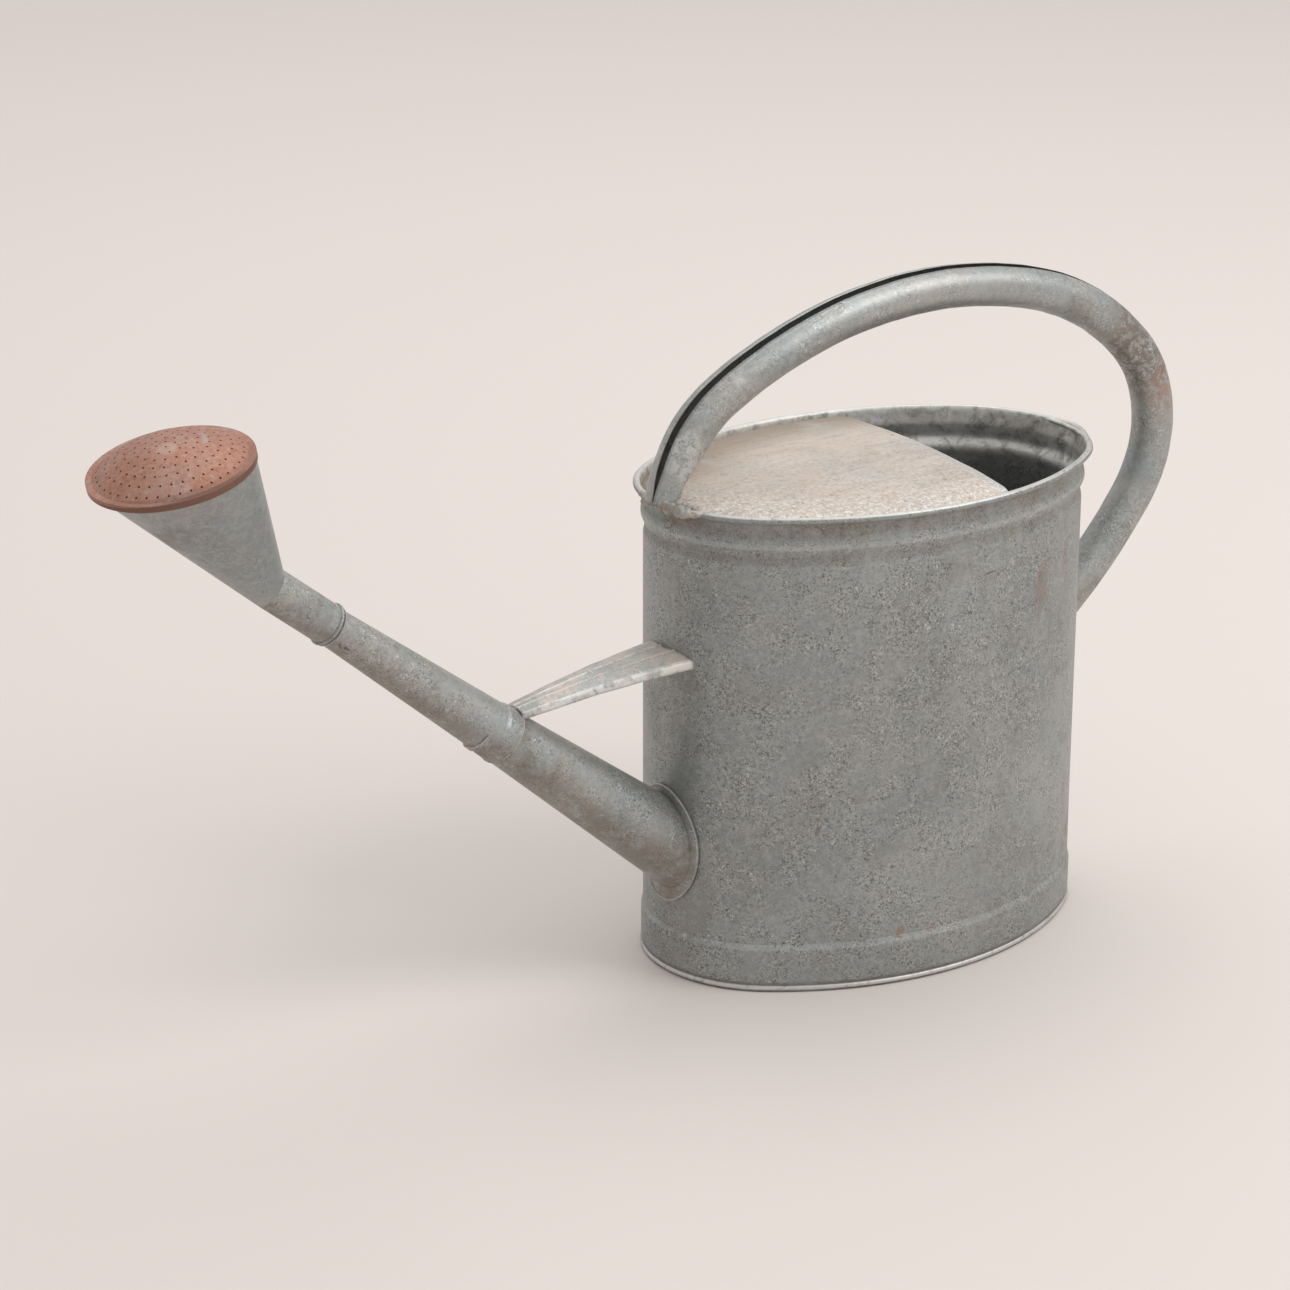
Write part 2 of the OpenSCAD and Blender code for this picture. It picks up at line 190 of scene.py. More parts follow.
class Nodes:
    """The node recipes that materials and Geometry Nodes trees share."""

    def add(self, kind, inputs=None, **settings):
        """A new node with its settings, and values or links for its inputs by name or number."""
        node = self.tree.nodes.new(kind)
        for key, value in settings.items():
            setattr(node, key, value)
        for key, value in (inputs or {}).items():
            self.feed(node.inputs[key], value)
        return node

    def feed(self, socket, value):
        """Links a socket to another, or sets its value."""
        if isinstance(value, bpy.types.NodeSocket):
            self.tree.links.new(value, socket)
        elif hasattr(value, "__len__") and len(value) == 3 and socket.type == "RGBA":
            socket.default_value = (*value, 1)
        else:
            socket.default_value = value

    def noise(self, scale, detail=4.0, rough=0.55, warp=0.0, place=None, seed=0.0):
        node = self.add("ShaderNodeTexNoise", {
            "Vector": place or self.place, "W": seed, "Scale": scale, "Detail": detail,
            "Roughness": rough, "Distortion": warp}, noise_dimensions="4D")
        return node.outputs["Fac"]

    def step(self, value, low, high):
        """0 below low, 1 above high, smooth between; low above high turns it round."""
        turned = low > high
        low, high = min(low, high), max(low, high)
        return self.ramp(value, low, high, float(turned), float(not turned))

    def ramp(self, value, low, high, first, last):
        """From first at low to last at high, smooth between."""
        node = self.add("ShaderNodeMapRange", {"Value": value, "From Min": low, "From Max": high,
                                               "To Min": first, "To Max": last},
                        interpolation_type="SMOOTHSTEP")
        return node.outputs["Result"]

    def sum(self, operation, a, b=0.0, c=0.0):
        node = self.add("ShaderNodeMath", dict(enumerate((a, b, c))), operation=operation)
        return node.outputs["Value"]

    def times(self, *values):
        result = values[0]
        for value in values[1:]:
            result = self.sum("MULTIPLY", result, value)
        return result

    def between(self, value, low, high):
        """Takes a value from 0 to 1 to the range from low to high."""
        return self.sum("MULTIPLY_ADD", value, high - low, low)

    def axis(self, letter, vector=None):
        node = self.add("ShaderNodeSeparateXYZ", {0: vector or self.place})
        return node.outputs[letter]

    def measure(self, operation, a, b=(0, 0, 0)):
        """A vector operation that gives one number, such as LENGTH or DOT_PRODUCT."""
        inputs = {0: a} if operation == "LENGTH" else {0: a, 1: b}
        return self.add("ShaderNodeVectorMath", inputs, operation=operation).outputs["Value"]

    def band(self, value, low, high, soft):
        """1 between low and high, fading over soft."""
        return self.times(self.step(value, low - soft, low), self.step(value, high + soft, high))


class Finish(Nodes):
    """A material on object coordinates."""

    def __init__(self, name):
        self.material = bpy.data.materials.new(name)
        self.material.use_nodes = True
        self.tree = self.material.node_tree
        self.shader = self.tree.nodes["Principled BSDF"]
        self.place = self.add("ShaderNodeTexCoord").outputs["Object"]

    def stretched(self, scale, shift=(0, 0, 0), turn=(0, 0, 0)):
        node = self.add("ShaderNodeMapping", {"Vector": self.place, "Scale": scale, "Location": shift,
                                              "Rotation": turn})
        return node.outputs["Vector"]

    def blend(self, amount, a, b, kind="MIX"):
        node = self.add("ShaderNodeMix", data_type="RGBA", blend_type=kind)
        for socket, value in (("Factor_Float", amount), ("A_Color", a), ("B_Color", b)):
            self.feed(next(i for i in node.inputs if i.identifier == socket), value)
        return next(o for o in node.outputs if o.identifier == "Result_Color")

    def spot(self, centre, size, turn=(0, 0, 0)):
        """1 inside a turned ellipsoid, fading to 0 at its skin."""
        node = self.add("ShaderNodeMapping", {"Vector": self.place, "Location": centre, "Rotation": turn,
                                              "Scale": size}, vector_type="TEXTURE")
        return self.step(self.measure("LENGTH", node.outputs["Vector"]), 1.0, 0.55)

    def bump(self, height, depth, strength=1.0, under=None):
        inputs = {"Height": height, "Distance": depth, "Strength": strength}
        if under:
            inputs["Normal"] = under
        return self.add("ShaderNodeBump", inputs).outputs["Normal"]

    def done(self, colour, rough, metal, normal):
        self.feed(self.shader.inputs["Base Color"], colour)
        self.feed(self.shader.inputs["Roughness"], rough)
        self.feed(self.shader.inputs["Metallic"], metal)
        self.feed(self.shader.inputs["Normal"], normal)
        return self.material


class Recipe(Nodes):
    """A Geometry Nodes tree with named inputs, which ends in Realize Instances and Set Material."""

    def __init__(self, name, inputs):
        self.tree = bpy.data.node_groups.new(name, "GeometryNodeTree")
        self.tree.is_modifier = True
        sockets = self.tree.interface
        sockets.new_socket("Geometry", in_out="INPUT", socket_type="NodeSocketGeometry")
        sockets.new_socket("Geometry", in_out="OUTPUT", socket_type="NodeSocketGeometry")
        kinds = {float: "NodeSocketFloat", str: "NodeSocketObject", type(None): "NodeSocketMaterial"}
        for label, value in {**inputs, "Seed": 0.0, "Material": None}.items():
            socket = sockets.new_socket(label, in_out="INPUT", socket_type=kinds[type(value)])
            if isinstance(value, float):
                socket.default_value = value
        self.given = self.add("NodeGroupInput").outputs
        self.place = self.add("GeometryNodeInputPosition").outputs["Position"]

    def curve(self, mesh):
        return self.add("GeometryNodeMeshToCurve", {"Mesh": mesh}).outputs["Curve"]

    def shape_of(self, label):
        return self.add("GeometryNodeObjectInfo", {"Object": self.given[label]}).outputs["Geometry"]

    def vector(self, operation, a, b=(0, 0, 0), scale=1.0):
        node = self.add("ShaderNodeVectorMath", {0: a}, operation=operation)
        if operation == "SCALE":
            self.feed(node.inputs["Scale"], scale)
        elif operation != "NORMALIZE":
            self.feed(node.inputs[1], b)
        return node.outputs["Vector"]

    def joined(self, x, y, z):
        return self.add("ShaderNodeCombineXYZ", {"X": x, "Y": y, "Z": z}).outputs["Vector"]

    def finish(self, geometry):
        shaded = self.add("GeometryNodeSetShadeSmooth", {"Geometry": geometry}).outputs["Geometry"]
        real = self.add("GeometryNodeRealizeInstances", {"Geometry": shaded}).outputs["Geometry"]
        painted = self.add("GeometryNodeSetMaterial",
                           {"Geometry": real, "Material": self.given["Material"]})
        end = self.add("NodeGroupOutput")
        self.tree.links.new(painted.outputs["Geometry"], end.inputs["Geometry"])

    def run(self, name, base, **values):
        """Runs the tree on base, which it uses up, and returns the result as a plain mesh object."""
        modifier = base.modifiers.new("recipe", "NODES")
        modifier.node_group = self.tree
        for item in self.tree.interface.items_tree:
            if item.in_out == "INPUT" and item.name.replace(" ", "_").lower() in values:
                modifier[item.identifier] = values[item.name.replace(" ", "_").lower()]
        graph = bpy.context.evaluated_depsgraph_get()
        mesh = bpy.data.meshes.new_from_object(base.evaluated_get(graph))
        bpy.data.objects.remove(base)
        if not mesh.polygons:
            raise RuntimeError(f"{name}: the recipe made no faces")
        piece = bpy.data.objects.new(name, mesh)
        bpy.context.scene.collection.objects.link(piece)
        closed_outward(mesh)
        return piece


def old_zinc(name, dirt=0.35, bloom=0.5, shade_and_grime_bands=(), highlight_bands=(), rust=0.5, light=1.0, seed=0.0,
             metal=0.5, pepper=0.8, dust=0.12, marks=(), over=None):
    """Dull grey zinc, mottled in patches, with faint runs, grime, bands of painted shade and of painted
    highlights, rust and marks.
    """
    tint = bpy.context.scene.can_colours
    f = Finish(name)
    cloud = f.noise(9, 3, 0.6, 0.6, seed=seed)
    patch = f.noise(46, 6, 0.68, 0.6, seed=seed + 3)
    grain = f.noise(700, 4, 0.7, 1.0, seed=seed + 5)
    flecks = f.noise(620, 3, 0.7, 1.5, seed=seed + 7)
    fine = f.noise(210, 4, 0.7, 0.6, seed=seed + 8)
    runs = f.noise(1, 5, 0.6, 0.4, place=f.stretched((75, 75, 5)), seed=seed + 9)
    height = f.axis("Z")

    grey = f.blend(f.between(f.step(cloud, 0.30, 0.70), 0.2, 0.8), tint.zinc_dark, tint.zinc_light)
    grey = f.blend(f.times(f.step(runs, 0.50, 0.72), 0.4), grey, tint.zinc_dark)
    grey = f.blend(f.times(f.step(fine, 0.46, 0.60), 0.55), grey, tint.zinc_light)
    in_patches = f.between(f.step(patch, 0.36, 0.60), 0.25, 1.0)
    dark_grain = f.times(f.step(grain, 0.52, 0.38), in_patches, pepper)
    colour = f.blend(dark_grain, grey, toned(tint.zinc_dark, 0.34))
    salt = f.times(f.step(flecks, 0.54, 0.64), f.step(patch, 0.40, 0.60), bloom)
    colour = f.blend(salt, colour, tint.oxide_and_highlight)

    film = f.noise(20, 5, 0.7, 0.5, seed=seed + 10)
    film = f.times(f.step(film, 0.38, 0.64), f.step(fine, 0.30, 0.56), dust)
    colour = f.blend(film, colour, tint.dust)
    if over:
        colour = over(f, colour)

    dirty = f.times(f.step(f.noise(26, 6, 0.65, 0.5, seed=seed + 11), 0.50, 0.74), dirt)
    # painted shade: these bands darken the dirt mask, and so the colour, where shade falls in the groove,
    # under the rim and at the foot
    for low, high, soft, share in shade_and_grime_bands:
        near = f.times(f.band(height, low, high, soft), f.step(patch, 0.25, 0.62), share)
        dirty = f.sum("MAXIMUM", dirty, near)
    colour = f.blend(dirty, colour, tint.grime_and_shade)
    # painted highlights: paler bands in the oxide colour along the rim's top, the bead's crest and the foot's
    # roll and step
    for low, high, soft, share in highlight_bands:
        painted_highlight = f.times(f.band(height, low, high, soft), f.step(fine, 0.26, 0.50), share)
        colour = f.blend(painted_highlight, colour, tint.oxide_and_highlight)
    speck = f.times(f.step(f.noise(95, 4, 0.6, 0.8, seed=seed + 13), 0.70, 0.76),
                    f.step(f.noise(14, 2, 0.5, seed=seed + 15), 0.50, 0.62), rust)
    colour = f.blend(speck, colour, tint.rust)
    for centre, size, turn, kind, share in marks:
        mark = f.times(f.spot(centre, size, turn), f.step(fine, 0.42, 0.55), share)
        colour = f.blend(mark, colour, getattr(tint, kind))
    if light != 1.0:
        colour = f.blend(1.0, colour, [light] * 3, "MULTIPLY")

    rough = f.sum("MULTIPLY_ADD", grain, 0.25, 0.33)
    rough = f.sum("MULTIPLY_ADD", dirty, 0.25, rough)
    shine = f.sum("MULTIPLY_ADD", dirty, -metal, metal)
    normal = f.bump(f.noise(11, 2, 0.5, seed=seed + 17), 0.004, 0.5)
    normal = f.bump(patch, 0.0006, 0.5, normal)
    normal = f.bump(fine, 0.0003, 0.5, normal)
    normal = f.bump(grain, 0.00016, 0.6, normal)
    return f.done(colour, rough, shine, normal)


# Marks: centre, size, turn, colour and share of each.
WALL_MARKS = (
    ((0.0136, -0.0995, 0.2508), (0.0110, 0.004, 0.0009), (0, -0.09, 0.08), "grime_and_shade", 0.85),
    ((-0.0257, -0.0984, 0.2390), (0.0050, 0.004, 0.0008), (0, -0.52, 0.1), "grime_and_shade", 0.75),
    ((0.0676, -0.0880, 0.2300), (0.0070, 0.010, 0.0220), (0, 0.1, 0), "rust", 0.30),
    ((0.0643, -0.0892, 0.2379), (0.0030, 0.006, 0.0030), (0, 0, 0), "rust", 0.45),
    ((0.0963, -0.0748, 0.2375), (0.0040, 0.006, 0.0120), (0, 0, 0), "rust", 0.30),
    ((0.1100, -0.0660, 0.0771), (0.0050, 0.010, 0.0260), (0, 0, 0), "rust", 0.30),
    ((0.1250, -0.0540, 0.0400), (0.0300, 0.025, 0.0260), (0, 0, 0), "grime_and_shade", 0.45),
    ((-0.0915, -0.0776, 0.1046), (0.0015, 0.006, 0.0060), (0, 0.2, 0), "grime_and_shade", 0.60),
    # painted shade: a broad dark patch on the can's left end under the spout, also used on the foot
    ((-0.1470, -0.0150, 0.0500), (0.0200, 0.030, 0.0500), (0, 0, 0), "grime_and_shade", 0.35),
    ((-0.0418, -0.0956, 0.0330), (0.0035, 0.006, 0.0050), (0, 0.5, 0), "rust", 0.55),
    ((-0.0200, -0.0970, 0.0310), (0.0060, 0.006, 0.0025), (0, 0, 0), "rust", 0.30),
    ((0.1460, -0.0060, 0.2880), (0.0080, 0.007, 0.0110), (0, 0, 0), "grime_and_shade", 0.70),
    ((-0.1500, -0.0180, 0.2930), (0.0140, 0.028, 0.0090), (0, 0, 0), "grime_and_shade", 0.50),
)
SOLDER_MARKS = (
    ((-0.1540, -0.0080, 0.2990), (0.0200, 0.045, 0.0120), (0, 0, 0), "dust", 0.50),
    ((-0.1560, -0.0040, 0.2985), (0.0080, 0.026, 0.0050), (0, 0, 0), "grime_and_shade", 0.60),
)
BEND_MARKS = (
    # painted shade with brown stains on the handle's rear bend
    ((0.212, 0.0, 0.350), (0.044, 0.03, 0.056), (0, 0, 0), "grime_and_shade", 0.72),
    ((0.232, 0.0, 0.315), (0.020, 0.03, 0.034), (0, 0, 0), "rust", 0.45),
    ((-0.140, -0.004, 0.325), (0.016, 0.02, 0.024), (0, 0, 0), "oxide_and_highlight", 0.40),
)


def ridge_highlights(f, colour):
    """Painted highlights along the brace's two ribs and its near edge, which taper with it."""
    spout, tint = bpy.context.scene.can_spout, bpy.context.scene.can_colours
    foot = on_spout(bpy.context, spout.brace_reach).x
    head = -bpy.context.scene.can_body.half_length
    share = f.sum("DIVIDE", f.sum("SUBTRACT", f.axis("X"), foot), head - foot)
    half_width = f.between(share, 8.4 * MM, 23.2 * MM)
    across = f.sum("DIVIDE", f.axis("Y"), half_width)
    painted_highlight = f.step(f.noise(160, 3, 0.6, seed=70.0), 0.34, 0.54)
    # painted highlight lines on the two rib crests and along the folded near edge
    for place, width in ((-0.36, 0.07), (0.18, 0.06), (-0.97, 0.10)):
        line = f.step(f.sum("ABSOLUTE", f.sum("SUBTRACT", across, place)), width, 0.3 * width)
        colour = f.blend(f.times(line, painted_highlight, 0.60), colour, toned(tint.oxide_and_highlight, 1.15))
    return colour


def lit_inside(f, colour):
    """Painted light and reflection on the zinc inside the mouth, down to the bead."""
    tint = bpy.context.scene.can_colours
    normal = f.add("ShaderNodeTexCoord").outputs["Normal"]
    outward = f.add("ShaderNodeVectorMath", {0: normal, 1: f.place}, operation="MULTIPLY")
    outward = outward.outputs["Vector"]
    outward = f.sum("ADD", f.axis("X", outward), f.axis("Y", outward))
    inside = f.times(f.step(outward, 0.01, -0.02), f.step(f.axis("Z"), 0.262, 0.276),
                     f.step(f.noise(120, 4, 0.7, 0.6, seed=74.0), 0.28, 0.58))
    return f.blend(f.times(inside, 0.90), colour, toned(tint.oxide_and_highlight, 1.3))


def dirt_and_shade_underside(f, colour):
    """Olive-brown dirt and painted shade under the spout, and a thin brown line along its top."""
    spout, tint = bpy.context.scene.can_spout, bpy.context.scene.can_colours
    up = (math.sin(spout.slope), 0.0, math.cos(spout.slope))
    level = f.measure("DOT_PRODUCT", f.place, up)
    height = f.sum("SUBTRACT", level, on_spout(bpy.context, 0.0, 0.0, 0.0).dot(Vector(up)))
    broken = f.step(f.noise(60, 5, 0.7, 0.6, seed=72.0), 0.30, 0.56)
    # painted shade, with olive-brown dirt, on the spout's underside
    under = f.times(f.step(height, 0.002, -0.012), broken, 0.55)
    colour = f.blend(under, colour, toned(tint.grime_and_shade, 1.2))
    colour = f.blend(f.times(f.step(height, 0.0085, 0.0150), broken, 0.22), colour, tint.grime_and_shade)
    stain_place = on_spout(bpy.context, 0.2800, math.radians(-126))
    stain = f.spot(stain_place, (0.0065, 0.0040, 0.0022), (0, 0.80, 0))
    edge = f.step(f.noise(260, 3, 0.6, 0.8, seed=76.0), 0.40, 0.52)
    return f.blend(f.times(stain, edge, 0.85), colour, toned(tint.grime_and_shade, 0.25))


# Shares of dirt, bloom, rust, pepper and dust in each finish, its brightness and its noise seed.
# Bands: lowest and highest height, softness of the ends, and share; the shade bands are painted shade (with
# brown dirt under the rim) and the highlight bands are painted highlights.
ZINCS = {
    "weathered zinc wall": dict(
        bloom=0.85, metal=0.7, pepper=1.0,
        # painted shade in the groove below the bead, and painted shade with brown dirt just under the rim
        shade_and_grime_bands=((0.2705, 0.2735, 0.0030, 0.45), (0.2870, 0.2950, 0.0040, 0.50)),
        # painted highlights along the rim's top edge and on the bead's crest
        highlight_bands=((0.2992, 0.3010, 0.0004, 0.80), (0.2800, 0.2815, 0.0015, 0.20)),
        marks=WALL_MARKS, over=lit_inside,
    ),
    "zinc foot": dict(
        bloom=0.8, metal=0.7, pepper=1.0,
        # painted contact shadow along the floor, and painted shade in the crease above the roll
        shade_and_grime_bands=((-0.0010, 0.0014, 0.0005, 0.90), (0.0044, 0.0056, 0.0012, 0.60)),
        # painted highlights on the roll and on the soft step at the top of the band
        highlight_bands=((0.0020, 0.0040, 0.0006, 0.75), (0.0278, 0.0300, 0.0016, 0.10)),
        marks=WALL_MARKS[6:7] + WALL_MARKS[8:11],
    ),
    "streaky zinc spout": dict(
        dirt=0.85, bloom=1.0, metal=0.45, pepper=0.9, dust=0.28, light=1.06, seed=20.0, over=dirt_and_shade_underside,
    ),
    "zinc rose": dict(
        dirt=0.7, bloom=0.35, metal=0.45, pepper=0.35, dust=0.25, light=0.92, seed=26.0,
    ),
    "worn zinc handle": dict(
        dirt=0.6, bloom=0.9, metal=0.65, pepper=0.55, dust=0.3, light=1.08, seed=40.0, marks=BEND_MARKS,
    ),
    "dirty brace zinc": dict(
        dirt=0.6, bloom=1.0, metal=0.2, pepper=0.5, dust=0.9, light=1.2, seed=60.0, over=ridge_highlights,
    ),
    "dull solder": dict(
        dirt=0.9, bloom=0.8, metal=0.25, dust=0.9, seed=80.0, marks=SOLDER_MARKS,
    ),
}


def zinc(name):
    """The named zinc finish, made once."""
    return bpy.data.materials.get(name) or old_zinc(name, **ZINCS[name])


def dirty_cover_zinc(name):
    """Zinc under a dry beige film, streaked along the can, with brown dirt and painted shade on the far
    flank, and pale flakes.
    """
    tint, sizes = bpy.context.scene.can_colours, bpy.context.scene.can_body
    f = Finish(name)
    patch = f.noise(26, 6, 0.68, 1.0)
    streaks = f.noise(1, 5, 0.65, 0.5, place=f.stretched((38, 210, 210)), seed=2)
    fine = f.noise(420, 3, 0.6, 1.0, seed=3)
    x, y = f.axis("X"), f.axis("Y")
    edge = f.sum("SQRT", f.sum("ADD", f.times(x, x, 1 / sizes.half_length ** 2),
                               f.times(y, y, 1 / sizes.half_width ** 2)))
    zinc_under = f.blend(f.step(patch, 0.35, 0.65), tint.zinc_light, tint.oxide_and_highlight)
    film = f.between(f.step(patch, 0.30, 0.58), 0.55, 0.90)
    colour = f.blend(film, zinc_under, toned(tint.dust, 1.12))
    colour = f.blend(f.times(f.step(streaks, 0.46, 0.66), 0.36), colour, tint.oxide_and_highlight)
    colour = f.blend(f.times(f.step(streaks, 0.46, 0.34), 0.30), colour, toned(tint.dust, 0.68))
    # painted shade, with brown dirt, on the far flank where the cover slopes down into the rim's channel
    flank = f.times(f.step(edge, 0.40, 0.88), f.step(patch, 0.22, 0.50), f.step(y, -0.02, 0.04), 0.80)
    pools = f.times(f.step(f.noise(14, 5, 0.7, 1.2, seed=4), 0.54, 0.76), 0.38)
    colour = f.blend(f.sum("MAXIMUM", flank, pools), colour, toned(tint.grime_and_shade, 1.7))
    from_edge = f.times(f.sum("SUBTRACT", x, sizes.cover_edge), math.cos(sizes.cover_skew))
    ahead = f.sum("SUBTRACT", from_edge, f.times(y, math.sin(sizes.cover_skew)))
    hem = f.times(f.step(ahead, -0.0075, -0.0055), f.step(y, 0.05, -0.02), f.step(patch, 0.30, 0.50), 0.6)
    colour = f.blend(hem, colour, toned(tint.zinc_light, 1.15))
    flakes = f.times(f.step(fine, 0.50, 0.60), f.between(f.step(edge, 0.62, 0.95), 0.30, 0.85),
                     f.step(y, 0.05, -0.05))
    colour = f.blend(flakes, colour, toned(tint.oxide_and_highlight, 1.2))
    specks = f.times(f.step(fine, 0.44, 0.36), 0.35)
    colour = f.blend(specks, colour, tint.grime_and_shade)
    normal = f.bump(patch, 0.0010, 0.4)
    normal = f.bump(streaks, 0.0003, 0.5, normal)
    normal = f.bump(fine, 0.0002, 0.7, normal)
    return f.done(colour, f.between(fine, 0.55, 0.75), 0.05, normal)


def aged_copper(name):
    """Pink-brown copper with a pale film in patches, grey stains near the edge and dark specks."""
    tint = bpy.context.scene.can_colours
    f = Finish(name)
    patch = f.noise(30, 5, 0.65, 0.8)
    stain = f.noise(48, 4, 0.6, 0.5, seed=6)
    fine = f.noise(360, 4, 0.65, 0.8, seed=2)
    colour = f.blend(f.step(patch, 0.42, 0.66), tint.copper, tint.copper_dull)
    colour = f.blend(f.times(f.step(stain, 0.58, 0.70), 0.7), colour, toned(tint.zinc_light, 0.9))
    colour = f.blend(f.times(f.step(fine, 0.50, 0.66), 0.55), colour, toned(tint.copper, 0.45))
    colour = f.blend(f.times(f.step(fine, 0.44, 0.34), 0.35), colour, tint.dust)
    for size, share, shade in ((0.0085, 0.45, tint.dust), (0.0042, 0.60, toned(tint.copper, 0.55))):
        knock = f.spot(KNOCK_ON_FACE, (size, size, size))
        colour = f.blend(f.times(knock, f.step(fine, 0.30, 0.52), share), colour, shade)
    facing = (-math.sin(FACE_TILT), 0.0, math.cos(FACE_TILT))
    depth = f.measure("DOT_PRODUCT", f.place, facing)
    top = max(vertex.co.dot(facing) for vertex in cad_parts["rose_face"].data.vertices)
    skirt = f.step(depth, top - 14.6 * MM, top - 15.4 * MM)
    colour = f.blend(f.times(skirt, 0.40), colour, toned(tint.copper, 0.5))
    # painted shade: a dark line along the bottom of the rolled lip, where shade falls under it
    edge = f.step(depth, top - 16.6 * MM, top - 17.1 * MM)
    colour = f.blend(f.times(edge, 0.75), colour, toned(tint.copper, 0.35))
    normal = f.bump(patch, 0.0012, 0.5)
    normal = f.bump(fine, 0.0001, 0.6, normal)
    return f.done(colour, f.between(patch, 0.38, 0.68), 0.35, normal)


# ---------------------------------------------------------------- shapes


def give_material(piece, material):
    piece.data.materials.clear()
    piece.data.materials.append(material)
    return piece


def closed_outward(mesh):
    """Merges doubles, closes open ends and turns every face outward."""
    work = bmesh.new()
    work.from_mesh(mesh)
    bmesh.ops.remove_doubles(work, verts=work.verts, dist=0.02 * MM)
    bmesh.ops.dissolve_degenerate(work, edges=work.edges, dist=0.01 * MM)
    bmesh.ops.holes_fill(work, edges=[e for e in work.edges if e.is_boundary])
    bmesh.ops.recalc_face_normals(work, faces=work.faces)
    for face in work.faces:
        face.smooth = True
    work.to_mesh(mesh)
    work.free()


def mesh_object(name, points, edges=(), faces=()):
    """A new object in the scene, with its own mesh."""
    mesh = bpy.data.meshes.new(name)
    mesh.from_pydata([tuple(point) for point in points], edges, faces)
    made = bpy.data.objects.new(name, mesh)
    bpy.context.scene.collection.objects.link(made)
    return made


def line_object(name, points, closed=False, thick=None):
    """A line of points that a recipe sweeps along, with a share of the bead's radius at each."""
    ties = [(i, i + 1) for i in range(len(points) - 1)]
    if closed:
        ties.append((len(points) - 1, 0))
    line = mesh_object(name, points, ties)
    if thick:
        line.data.attributes.new("thick", "FLOAT", "POINT").data.foreach_set("value", thick)
    return line


def grid_piece(name, rows):
    """A sheet with one vertex for each point of rows."""
    across = len(rows[0])
    faces = [(r * across + c, (r + 1) * across + c, (r + 1) * across + c + 1, r * across + c + 1)
             for r in range(len(rows) - 1) for c in range(across - 1)]
    return mesh_object(name, [point for row in rows for point in row], (), faces)


def thickened(piece, thickness):
    """Gives a sheet its thickness below its own side, and closes it."""
    wall = piece.modifiers.new("sheet", "SOLIDIFY")
    wall.thickness = thickness
    wall.offset = -1
    graph = bpy.context.evaluated_depsgraph_get()
    mesh = bpy.data.meshes.new_from_object(piece.evaluated_get(graph))
    piece.modifiers.clear()
    piece.data = mesh
    closed_outward(mesh)
    return piece


def settle(piece, body, slot, material, *nodes):
    """Finishes a piece: its material, the body it rides on and the frame nodes it stands for."""
    give_material(piece, material)
    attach(piece, body)
    if nodes:
        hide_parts(*nodes)


def oval_arcs(sizes):
    """The four arcs of the oval, as centre, radius and first and last angle, on a 3-4-5 triangle."""
    unit = (sizes.half_length - sizes.half_width) / 2
    end_radius = sizes.half_length - 3 * unit
    side_radius = end_radius + 5 * unit
    join = math.atan2(4, 3)
    return (((3 * unit, 0), end_radius, -join, join),
            ((0, -4 * unit), side_radius, join, math.pi - join),
            ((-3 * unit, 0), end_radius, math.pi - join, math.pi + join),
            ((0, 4 * unit), side_radius, math.pi + join, 2 * math.pi - join))


def oval_line(sizes, grow, spacing, height=0.0, first=None, last=None):
    """Points round the oval, counter-clockwise from above, or only between two angles seen from within."""
    points = []
    for (x, y), radius, start, end in oval_arcs(sizes):
        count = max(4, round((end - start) * radius / spacing))
        for i in range(count):
            angle, out = start + (end - start) * i / count, radius + grow
            points.append(Vector((x + out * math.cos(angle), y + out * math.sin(angle), height)))
    if first is None:
        return points
    seen = [(math.atan2(p.y, p.x) % (2 * math.pi), p) for p in points]
    return [p for angle, p in sorted(seen, key=lambda item: item[0]) if first <= angle <= last]


def depth_in_oval(sizes, x, y, grow=0.0):
    """How far a point is inside the grown oval; negative outside it."""
    (end, _), end_radius, _, _ = oval_arcs(sizes)[0]
    (_, side), side_radius, _, _ = oval_arcs(sizes)[1]
    if abs(x) > end and 3 * abs(y) < 4 * (abs(x) - end):
        return end_radius + grow - math.hypot(abs(x) - end, y)
    return side_radius + grow - math.hypot(x, abs(y) - side)


def way_to_rim(sizes, spot, way, grow):
    """How far the grown oval's edge is from a point inside it, along a direction."""
    low, high = 0.0, 2 * sizes.half_width
    for _ in range(40):
        middle = (low + high) / 2
        there = spot + way * middle
        if depth_in_oval(sizes, there.x, there.y, grow) > 0:
            low = middle
        else:
            high = middle
    return low


def front_of_oval(sizes, y, grow=0.0):
    """Distance from the middle to the wall's outside, at the given distance from the middle plane."""
    (x, _), radius, _, _ = oval_arcs(sizes)[0]
    return x + math.sqrt(max(0.0, (radius + grow) ** 2 - y * y))


def ease(start, end, steps):
    """Points of a smooth S from start to end, without the end."""
    return [(start[0] + (end[0] - start[0]) * (1 - math.cos(math.pi * i / steps)) / 2,
             start[1] + (end[1] - start[1]) * i / steps) for i in range(steps)]


